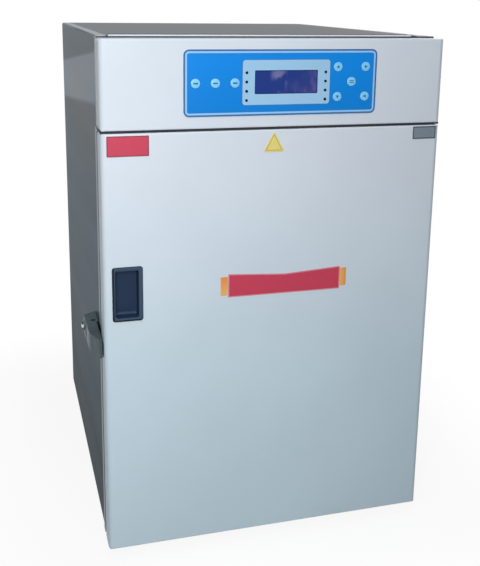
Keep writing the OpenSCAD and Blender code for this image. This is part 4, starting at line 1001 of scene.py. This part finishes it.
class INCUBATOR_OT_pull_cup(PieceOperator, Operator):
    """Makes the pull cup: a soft proud rim round a deep well"""

    bl_idname = "incubator.pull_cup"
    bl_label = "Pull cup"

    def execute(self, context):
        sizes = context.scene.incubator_sizes
        low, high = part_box("pull_cup")
        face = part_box("door_skin")[0].y
        proud = face - low.y
        rim, well, flange = sizes.cup_rim, sizes.cup_depth, 0.0052
        # Inset from the outline, distance out of the door's face and corner radius
        profile = [
            (flange, -well - 0.0018, 0.0035),
            (flange, -0.0005, 0.0035),
            (0.0, 0.0, 0.0045),
            (0.0, 0.45 * proud, 0.0045),
            (0.0003, 0.75 * proud, 0.0043),
            (0.0010, 0.94 * proud, 0.0040),
            (0.0020, proud, 0.0036),
            (0.60 * rim, proud, 0.0030),
            (0.82 * rim, 0.80 * proud, 0.0026),
            (0.95 * rim, 0.30 * proud, 0.0024),
            (rim, -0.0010, 0.0024),
            (rim + 0.0001, 0.0050 - well, 0.0024),
            (rim + 0.0004, 0.0020 - well, 0.0034),
            (rim + 0.0022, 0.0006 - well, 0.0040),
            (rim + 0.0050, -well, 0.0050),
        ]
        aside, lip = 0.0008, 0.002
        rings = []
        for inset, out, radius in profile:
            shift = -aside * min(1.0, max(0.0, inset - lip) / (rim - lip))
            rings.append(rounded_rect(*front_size(low, high, inset), radius, out, (shift, shift)))
        cup = loft("pull_pocket", rings, FRONT, front_middle(low, high, face))
        fit(cup, "outer_door", finishes()["pocket"], ["pull_cup"])
        return {"FINISHED"}


def seal_ring(name, low, high, half, outer_radius):
    """A seal that runs round a door. Half of its profile is given, as insets and depths."""
    across, least_radius = 0.012, 0.0022
    rings = []
    for inset, depth in half + [(across - inset, depth) for inset, depth in reversed(half)]:
        radius = max(outer_radius - inset, least_radius)
        rings.append(rounded_rect(*front_size(low, high, inset), radius, depth))
    return loft(name, rings, REAR, front_middle(low, high, low.y), closed=True)


class INCUBATOR_OT_seals(PieceOperator, Operator):
    """Makes the outer door's magnetic gasket, a dark strip of painted shade in the gap behind its free
    edge, and the soft seal of the glass door
    """

    bl_idname = "incubator.seals"
    bl_label = "Seals"

    def execute(self, context):
        low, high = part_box("door_gasket")
        deep = high.y - low.y
        half = [
            (0.0, 0.0), (0.0, 0.0022), (0.0012, 0.0032), (0.0021, 0.0042), (0.0023, 0.0052),
            (0.0014, 0.0064), (0.0006, 0.0076), (0.0006, deep - 0.0022), (0.0013, deep - 0.0007),
            (0.0028, deep),
        ]
        gasket = seal_ring("door_seal", low, high, half, 0.008)
        fit(gasket, "outer_door", finishes()["rubber"], ["door_gasket"])
        low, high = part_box("glass_seal")
        deep = high.y - low.y
        half = [
            (0.0, 0.0), (0.0, 0.0011), (0.0010, 0.0017), (0.0008, 0.0027), (0.0014, 0.0036),
            (0.0028, deep),
        ]
        strip = seal_ring("glass_seal_strip", low, high, half, 0.006)
        fit(strip, "glass_door", finishes()["silicone"], ["glass_seal"])
        # Painted shade: a dark strip in the gap behind the door's free edge.
        fit(gap_shadow_strip(), "outer_door", finishes()["rubber"])
        return {"FINISHED"}


def gap_shadow_strip():
    """Painted shade: a dark ribbed strip in the gap behind the free edge of the door."""
    low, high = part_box("door_skin")
    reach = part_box("header_fascia")[1].y - high.y - 0.001
    inset, thick, short = 0.0012, 0.0030, 0.012
    folds, pleat = 4, 0.0005
    centre = Vector((low.x + inset + thick / 2, high.y, (low.z + high.z) / 2))
    height = high.z - low.z - 2 * short
    rings = []
    for fold in range(2 * folds + 1):
        draw_in = pleat if fold % 2 else 0.0
        outline = (thick - 2 * draw_in, height - 2 * draw_in)
        rings.append(rounded_rect(*outline, 0.0006, reach * fold / (2 * folds)))
    return loft("door_gap_shadow_strip", rings, REAR, centre)


class INCUBATOR_OT_stopper(PieceOperator, Operator):
    """Makes the ribbed silicone stopper of the access port"""

    bl_idname = "incubator.stopper"
    bl_label = "Port stopper"

    def execute(self, context):
        low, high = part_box("port_plug")
        radius = (high.z - low.z) / 2
        grip = 0.021
        centre = Vector((high.x - grip, (low.y + high.y) / 2, (low.z + high.z) / 2))
        stem = radius - 0.0093
        tip = low.x - centre.x
        body = radius - 0.0045
        rib = 0.0030
        # Radius, place along the stopper and height of the ribs
        profile = [
            (0.80 * stem, tip, 0), (0.93 * stem, tip + 0.0012, 0), (0.95 * stem, tip + 0.003, 0),
            (stem, -0.0002, 0), (radius - 0.0008, 0.0, 0), (radius, 0.0008, 0), (radius, 0.0032, 0),
            (radius - 0.0008, 0.0040, 0), (body - 0.0008, 0.0046, 0), (body - 0.0012, 0.0056, rib),
            (body - 0.0012, grip - 0.0036, rib), (body - 0.0020, grip - 0.0018, 0.6 * rib),
            (body - 0.0040, grip - 0.0004, 0), (body - 0.0060, grip, 0), (0.62 * body, grip, 0),
            (0.56 * body, grip - 0.0008, 0), (0.52 * body, grip - 0.0026, 0),
            (0.30 * body, grip - 0.0030, 0),
        ]
        rings = [circle(reach, depth, 144, 12, tall) for reach, depth, tall in profile]
        stopper = loft("port_stopper", rings, RIGHT, centre)
        fit(stopper, "plug", finishes()["stopper"], ["port_plug"])
        return {"FINISHED"}


class INCUBATOR_OT_keys(PieceOperator, Operator):
    """Makes the eight domed key caps and their small plain marks"""

    bl_idname = "incubator.keys"
    bl_label = "Keys"

    def execute(self, context):
        sizes = context.scene.incubator_sizes
        for number in range(1, 9):
            low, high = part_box(f"key_{number}")
            radius = (high.z - low.z) / 2
            centre = front_middle(low, high, low.y)
            dome = sizes.key_dome
            # Radius and distance out of the overlay's face
            profile = [
                (0.45 * radius, -0.0060), (0.45 * radius, -0.0030), (radius, -0.0028), (radius, -0.0007),
                (radius - 0.00012, -0.0003), (radius - 0.0005, -0.00005), (radius - 0.0011, 0.0),
                (0.72 * radius, 0.45 * dome), (0.45 * radius, 0.8 * dome), (0.2 * radius, dome),
            ]
            cap = loft(f"key_cap_{number}", [circle(r, d, 40) for r, d in profile], FRONT, centre)
            fit(cap, f"key{number}", finishes()["key"], [f"key_{number}"])
            spot = centre + FRONT.out * (0.75 * dome)
            mark = key_mark(number, spot, radius)
            fit(mark, f"key{number}", finishes()["key_mark"])
        return {"FINISHED"}


def key_mark(number, spot, radius):
    """A plain mark on a key: bars on the left three, arrowheads and a bar on the other five."""
    name = f"key_mark_{number}"
    thick = 0.00035
    turns = {4: 90, 5: 0, 7: -90, 8: 180}
    if number in turns:
        angles = [math.radians(turns[number] + corner) for corner in (0, 125, 235)]
        reach = 0.44 * radius
        ring = [(reach * math.cos(angle), reach * math.sin(angle)) for angle in angles]
        rings = [[(u, v, 0.0) for u, v in ring], [(0.9 * u, 0.9 * v, thick) for u, v in ring]]
        return loft(name, rings, FRONT, spot)
    rises, tall = ((-0.2, 0.2), 0.16 * radius) if number == 6 else ((0.0,), 0.3 * radius)
    bars = []
    for rise in rises:
        centre = spot + FRONT.up * rise * radius
        bars.append(plate("bar", FRONT, centre, radius, tall, 0.3 * tall, thick, 0.00005))
    return joined(name, bars)


class INCUBATOR_OT_lamps(PieceOperator, Operator):
    """Makes the eight small indicator lamps beside the display"""

    bl_idname = "incubator.lamps"
    bl_label = "Indicator lamps"

    def execute(self, context):
        sizes = context.scene.incubator_sizes
        low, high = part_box("indicator_lamps")
        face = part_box("keypad_overlay")[0].y
        radius, rows, turns = 0.0022, 4, (25, 50, 70)
        step = (high.z - low.z - 2 * radius) / (rows - 1)
        lamps = []
        for x in (low.x + radius, high.x - radius):
            for row in range(rows):
                centre = Vector((x, face, low.z + radius + row * step))
                dome = [(radius, -0.006), (radius, 0.0)]
                for turn in turns:
                    angle = math.radians(turn)
                    dome.append((radius * math.cos(angle), sizes.lamp_dome * math.sin(angle)))
                lamps.append(loft("lamp", [circle(r, d, 24) for r, d in dome], FRONT, centre))
        lenses = joined("lamp_lenses", lamps)
        fit(lenses, "cabinet", finishes()["lamp"], ["indicator_lamps"])
        return {"FINISHED"}


class INCUBATOR_OT_plates(PieceOperator, Operator):
    """Makes the plain plates on the door"""

    bl_idname = "incubator.plates"
    bl_label = "Plain plates"

    def execute(self, context):
        thick = context.scene.incubator_sizes.plate
        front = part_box("door_skin")[0].y
        for name, (x, z, width, height) in PLATES.items():
            centre = Vector((x, front, z))
            if name == "red_strip":
                made = banner(name, centre, width, height, thick)
            elif name == "yellow_plate":
                made = triangle(name, centre, width, height, thick)
            else:
                made = plate(name, FRONT, centre, width, height, 0.0012, thick)
            finish = "amber" if name.startswith("amber") else name
            fit(made, "outer_door", finishes()[finish])
        return {"FINISHED"}


def chamfered(thick):
    """The inset and depth of each ring of a plate."""
    return (0.0, 0.0), (0.0, thick - PLATE_CHAMFER), (PLATE_CHAMFER, thick)


def banner(name, centre, width, height, thick):
    """A strip whose upper edge dips in the middle, with a fine chamfer round its face."""
    rings = []
    for inset, depth in chamfered(thick):
        u, v = width / 2 - inset, height / 2 - inset
        outline = [(-u, -v), (u, -v), (u, v), (0.0, v - STRIP_DIP), (-u, v)]
        rings.append([(*point, depth) for point in outline])
    return loft(name, rings, FRONT, centre)


def triangle(name, centre, width, height, thick):
    """A plate with the outline of a triangle with round corners, on its base."""
    radius = 0.0026
    slope = math.atan2(height, width / 2)
    turn = math.degrees(slope)
    from_flank = radius / math.tan(slope / 2)
    corners = [
        (width / 2 - from_flank, radius - height / 2, -90, 90 - turn),
        (0.0, height / 2 - radius / math.cos(slope), 90 - turn, 90 + turn),
        (from_flank - width / 2, radius - height / 2, 90 + turn, 270),
    ]
    rings = []
    for inset, depth in chamfered(thick):
        ring = []
        for u, v, first, last in corners:
            for step in range(CORNER_STEPS + 1):
                angle = math.radians(first + (last - first) * step / CORNER_STEPS)
                reach = radius - inset
                ring.append((u + reach * math.cos(angle), v + reach * math.sin(angle), depth))
        rings.append(ring)
    return loft(name, rings, FRONT, centre)


class INCUBATOR_OT_screws(PieceOperator, Operator):
    """Makes the pan-head screws of the rear cover"""

    bl_idname = "incubator.screws"
    bl_label = "Cover screws"

    def execute(self, context):
        radius = context.scene.incubator_sizes.screw
        low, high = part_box("rear_panel")
        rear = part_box("cabinet_wrap")[1].y
        inset = 0.012
        columns = [low.x + inset, high.x - inset]
        tall = high.z - low.z - 2 * inset
        heights = [low.z + inset + share * tall for share in (0, 0.25, 0.5, 0.75, 1)]
        spots = [(x, z) for x in columns for z in heights]
        spots += [(0.0, heights[0]), (0.0, heights[-1])]
        screws = [screw_head(REAR, Vector((x, rear, z)), radius) for x, z in spots]
        fit(joined("rear_screws", screws), "cabinet", finishes()["plated"])
        return {"FINISHED"}


def screw_head(face, centre, radius):
    """A pan head with a hexagon socket."""
    height = 0.0026
    profile = [(1.0, 0.0), (1.0, 0.35), (0.93, 0.62), (0.72, 0.78), (0.45, 0.82)]
    rings = [circle(reach * radius, depth * height, 24) for reach, depth in profile]
    for depth in (0.82, 0.2):
        ring = circle(0.40 * radius, depth * height, 24)
        rings.append([hexagonal(point) for point in ring])
    return loft("screw", rings, face, centre)


def hexagonal(point):
    """The point of a circle drawn in to a hexagon."""
    u, v, d = point
    angle = math.atan2(v, u)
    off = (angle + math.pi / 6) % (math.pi / 3) - math.pi / 6
    share = math.cos(math.pi / 6) / math.cos(off)
    return (u * share, v * share, d)


MATERIALS = {}
UPRIGHT_GRAIN = (300.0, 300.0, 9.0)


def finishes():
    """Every finish by its short name, made once."""
    if MATERIALS:
        return MATERIALS
    colours = bpy.context.scene.incubator_colours
    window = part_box("display_window")
    MATERIALS.update(
        enamel=powder_coat("white_enamel", colours.enamel, colours.cool_shade_enamel),
        side_steel=cabinet_steel("brushed_cabinet_steel", colours.side_steel),
        frame_steel=brushed("frame_steel", colours.frame_steel, UPRIGHT_GRAIN, 0.46, 0.08, 0.7),
        inner_steel=polished("polished_lining", colours.inner_steel, 0.24),
        shelf_steel=polished("polished_shelves", colours.inner_steel, 0.18),
        plated=polished("plated_metal", colours.plated, 0.14),
        coated=coated_sheet("coated_sheet", colours.coated),
        dark_metal=cast_metal("dark_coated_metal", linear(58, 59, 62)),
        latch=latch_finish("cast_latch", colours.latch),
        lock=lock_finish("plated_lock", colours.plated),
        pocket=pocket_finish("pull_cup_plastic", colours),
        overlay=overlay_print("overlay_print", colours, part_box("keypad_overlay"), window),
        display=display_finish("display_glass", colours, window),
        key=moulded("key_print", colours.key, 0.36, 1500.0, 0.00004, 0.1),
        key_mark=moulded("key_mark_print", colours.key_mark, 0.4),
        lamp=moulded("lamp_lens", linear(5, 14, 34), 0.5, 300.0, 0.00002, shine=0.1),
        trim=brushed("edge_trim_steel", colours.side_steel, UPRIGHT_GRAIN, 0.36, 0.06, 0.62),
        red_plate=plate_finish(
            "red_plate", colours.red_plate, inside_rectangle, linear(132, 60, 78), 0.0, 0.0016
        ),
        red_strip=plate_finish(
            "red_strip", colours.red_plate, inside_banner, linear(228, 150, 164), 0.0004, 0.0014
        ),
        yellow_plate=plate_finish(
            "yellow_plate", colours.yellow_plate, inside_triangle, linear(168, 146, 62), 0.0022, 0.0031
        ),
        grey_plate=plate_finish(
            "grey_plate", colours.grey_plate, inside_rectangle, linear(66, 82, 96), 0.0, 0.0020
        ),
        amber=amber_finish("amber_enamel", colours.amber, PLATES["amber_left"], PLATES["amber_right"]),
        rubber=rubber("door_rubber", colours.rubber),
        # Painted shade: near-black, for the strip in the gap below the header.
        black_rubber=rubber("black_rubber", darker(colours.rubber, 0.3)),
        silicone=rubber("pale_silicone", colours.silicone, 0.5),
        stopper=rubber("stopper_silicone", colours.stopper, 0.55),
        foot=foot_finish("foot_rubber_and_steel", colours.rubber, colours.plated),
        foam=foam_finish("rigid_foam", colours.foam),
        circuit=circuit_finish("circuit_board", colours.circuit),
        glass=glass_finish("toughened_glass"),
        brass=polished("turned_brass", colours.brass, 0.2),
        white_plastic=moulded("white_moulding", colours.white_plastic, 0.36),
        black_plastic=moulded("black_moulding", colours.black_plastic, 0.4),
        rocker=moulded("red_rocker", colours.rocker, 0.24, 600.0, 0.00002, 0.3),
        tube=moulded("gas_tube", linear(224, 228, 226), 0.3),
    )
    return MATERIALS


class INCUBATOR_OT_cabinet(PieceOperator, Operator):
    """Gives the cabinet's sheets, brackets, feet and latch their finishes"""

    bl_idname = "incubator.cabinet"
    bl_label = "Cabinet finishes"

    def execute(self, context):
        made = finishes()
        repaint(made["side_steel"], "cabinet_wrap")
        repaint(made["frame_steel"], "front_frame")
        repaint(made["coated"], "base_pan", "rear_panel", "electronics_deck")
        repaint(made["foot"], "levelling_feet", soft=0.0)
        repaint(made["dark_metal"], "hinge_bracket_top", "hinge_bracket_bottom", soft=0.0003)
        repaint(made["latch"], "latch_base", "latch_lever", soft=0.0008)
        repaint(made["lock"], "lock_barrel", soft=0.0003)
        repaint(made["dark_metal"], "strike_plate", soft=0.0003)
        repaint(made["overlay"], "keypad_overlay", soft=0.0)
        repaint(made["display"], "display_window", soft=0.0)
        return {"FINISHED"}


class INCUBATOR_OT_chamber(PieceOperator, Operator):
    """Gives the chamber, its fittings and the glass door their finishes"""

    bl_idname = "incubator.chamber"
    bl_label = "Chamber finishes"

    def execute(self, context):
        made = finishes()
        repaint(made["inner_steel"], "inner_chamber", "door_liner", soft=0.0)
        repaint(made["shelf_steel"], "air_duct", "humidity_pan", soft=0.0)
        shelves = ["shelf_racks", "shelf_upper", "shelf_middle", "shelf_lower"]
        repaint(made["shelf_steel"], *shelves, soft=0.0003)
        fittings = ["temperature_probe", "glass_hinge_leaves", "glass_hinge_brackets"]
        repaint(made["plated"], *fittings, soft=0.0003)
        repaint(made["plated"], "fan_wheel", soft=0.0)
        repaint(made["dark_metal"], "heater_ring", soft=0.0)
        repaint(made["glass"], "glass_pane", soft=0.0005)
        mouldings = ["co2_sensor", "port_sleeve", "glass_latch", "glass_keeper", "door_bushes"]
        repaint(made["white_plastic"], *mouldings)
        return {"FINISHED"}


class INCUBATOR_OT_works(PieceOperator, Operator):
    """Gives the insulation, the electronics and the rear fittings their finishes"""

    bl_idname = "incubator.works"
    bl_label = "Inner works finishes"

    def execute(self, context):
        made = finishes()
        repaint(made["foam"], "foam_shell", "door_foam", soft=0.0)
        repaint(made["circuit"], "control_board", soft=0.0)
        repaint(made["coated"], "power_supply", "display_module")
        repaint(made["dark_metal"], "fan_motor")
        repaint(made["brass"], "gas_valve", "gas_inlet", soft=0.0003)
        repaint(made["tube"], "gas_line", soft=0.0)
        repaint(made["black_plastic"], "power_inlet")
        repaint(made["rocker"], "power_switch", soft=0.0003)
        return {"FINISHED"}


class INCUBATOR_OT_stage(PieceOperator, Operator):
    """Makes the pale floor, the soft lamps, the white surroundings and the camera"""

    bl_idname = "incubator.stage"
    bl_label = "Stage"

    def execute(self, context):
        scene = context.scene
        scene.view_settings.view_transform = "Standard"
        floor_piece()
        surroundings(scene)
        area_lamp("key_lamp", (-0.47, -1.50, 1.00), (-0.68, -0.36, 0.58), 0.6, 12.2)
        area_lamp("high_lamp", (-0.30, -1.00, 2.40), (-0.10, -0.36, 0.80), 1.0, 12.0)
        area_lamp("rear_lamp", (2.3, 2.2, 1.6), (0.0, 0.3, 0.5), 1.6, 14.0)
        scene.camera = photograph_camera()
        return {"FINISHED"}


def floor_piece():
    """A wide pale floor that keeps the shadow near the object and is white for the camera further out."""
    half = 12.0
    corners = [(-half, -half, 0.0), (half, -half, 0.0), (half, half, 0.0), (-half, half, 0.0)]
    mesh = bpy.data.meshes.new("studio_floor")
    mesh.from_pydata(corners, [], [(0, 1, 2, 3)])
    floor = bpy.data.objects.new("studio_floor", mesh)
    bpy.context.scene.collection.objects.link(floor)
    pale = Finish("studio_floor")
    across, along, _ = pale.parts(pale.place)
    high = CAD_BOX[1]
    away = ((abs(across) - high[0]).most(0.0) ** 2 + (abs(along) - high[1]).most(0.0) ** 2).root()
    seen, white = pale.rays()
    share = 0.9 + 0.1 * away.rise(0.0, 0.4)
    shade = pale.mix(seen, (0.5, 0.5, 0.5), (0.95, 0.95, 0.95))
    diffuse = pale.node("ShaderNodeBsdfDiffuse", None, {"Color": shade})
    glow = pale.node("ShaderNodeEmission", None, {"Color": (1.0, 1.0, 1.0, 1.0), "Strength": 1.0})
    shader = pale.node("ShaderNodeMixShader", None, {0: white * share, 1: diffuse, 2: glow})
    pale.node("ShaderNodeOutputMaterial", None, {"Surface": shader})
    mesh.materials.append(pale.material)


def surroundings(scene):
    """A white world for the camera, mirrors and glass, and a softer one for the light it sheds."""
    scene.world = bpy.data.worlds.new("studio_world")
    scene.world.use_nodes = True
    world = NodeTree(scene.world.node_tree)
    _, white = world.rays()
    shed = 0.14
    inputs = {"Color": (1.0, 1.0, 1.0, 1.0), "Strength": shed + white * (1.0 - shed)}
    glow = world.node("ShaderNodeBackground", None, inputs)
    world.node("ShaderNodeOutputWorld", None, {"Surface": glow})


def area_lamp(name, place, target, size, power):
    """A square soft lamp that looks at a point."""
    data = bpy.data.lights.new(name, "AREA")
    data.size = size
    data.energy = power
    lamp = bpy.data.objects.new(name, data)
    lamp.location = place
    lamp.rotation_euler = (Vector(target) - Vector(place)).to_track_quat("-Z", "Y").to_euler()
    bpy.context.scene.collection.objects.link(lamp)


def photograph_camera():
    """The camera that saw the object, found from the corners of the front and the cabinet."""
    image_height = 566
    focal_px = 853.8
    centre_row = 192.0
    yaw, pitch, roll = -0.2801, 0.2227, 0.0141
    place = (-0.4351, -1.6520, 0.9427)
    data = bpy.data.cameras.new("photograph_camera")
    data.lens = focal_px * data.sensor_width / image_height
    data.shift_y = (centre_row - image_height / 2) / image_height
    camera = bpy.data.objects.new("photograph_camera", data)
    level = Vector((math.cos(yaw), math.sin(yaw), 0.0))
    ahead = Vector((-math.sin(yaw), math.cos(yaw), 0.0))
    forward = ahead * math.cos(pitch) - Vector((0.0, 0.0, math.sin(pitch)))
    upward = level.cross(forward)
    right = level * math.cos(roll) + upward * math.sin(roll)
    up = upward * math.cos(roll) - level * math.sin(roll)
    turn = Matrix((right, up, -forward)).transposed()
    camera.matrix_world = Matrix.Translation(place) @ turn.to_4x4()
    bpy.context.scene.collection.objects.link(camera)
    return camera


STEPS = [
    INCUBATOR_OT_stage,
    INCUBATOR_OT_header,
    INCUBATOR_OT_header_gap_shadows,
    INCUBATOR_OT_trims,
    INCUBATOR_OT_door,
    INCUBATOR_OT_pull_cup,
    INCUBATOR_OT_seals,
    INCUBATOR_OT_stopper,
    INCUBATOR_OT_keys,
    INCUBATOR_OT_lamps,
    INCUBATOR_OT_plates,
    INCUBATOR_OT_screws,
    INCUBATOR_OT_cabinet,
    INCUBATOR_OT_chamber,
    INCUBATOR_OT_works,
]


class INCUBATOR_PT_pieces(Panel):
    """Lists the steps that dress the incubator"""

    bl_idname = "INCUBATOR_PT_pieces"
    bl_label = "Incubator"
    bl_space_type = "VIEW_3D"
    bl_region_type = "UI"
    bl_category = "Incubator"

    def draw(self, context):
        for step in STEPS:
            self.layout.operator(step.bl_idname)
        for group in (context.scene.incubator_sizes, context.scene.incubator_colours):
            column = self.layout.column()
            for name in group.__annotations__:
                column.prop(group, name)


CLASSES = [IncubatorSizes, IncubatorColours, *STEPS, INCUBATOR_PT_pieces]


def register():
    for cls in CLASSES:
        bpy.utils.register_class(cls)
    bpy.types.Scene.incubator_sizes = PointerProperty(type=IncubatorSizes)
    bpy.types.Scene.incubator_colours = PointerProperty(type=IncubatorColours)


def unregister():
    del bpy.types.Scene.incubator_colours
    del bpy.types.Scene.incubator_sizes
    for cls in reversed(CLASSES):
        bpy.utils.unregister_class(cls)


def main():
    register()
    for step in STEPS:
        group, name = step.bl_idname.split(".")
        getattr(getattr(bpy.ops, group), name)()


if __name__ == "__main__":
    main()
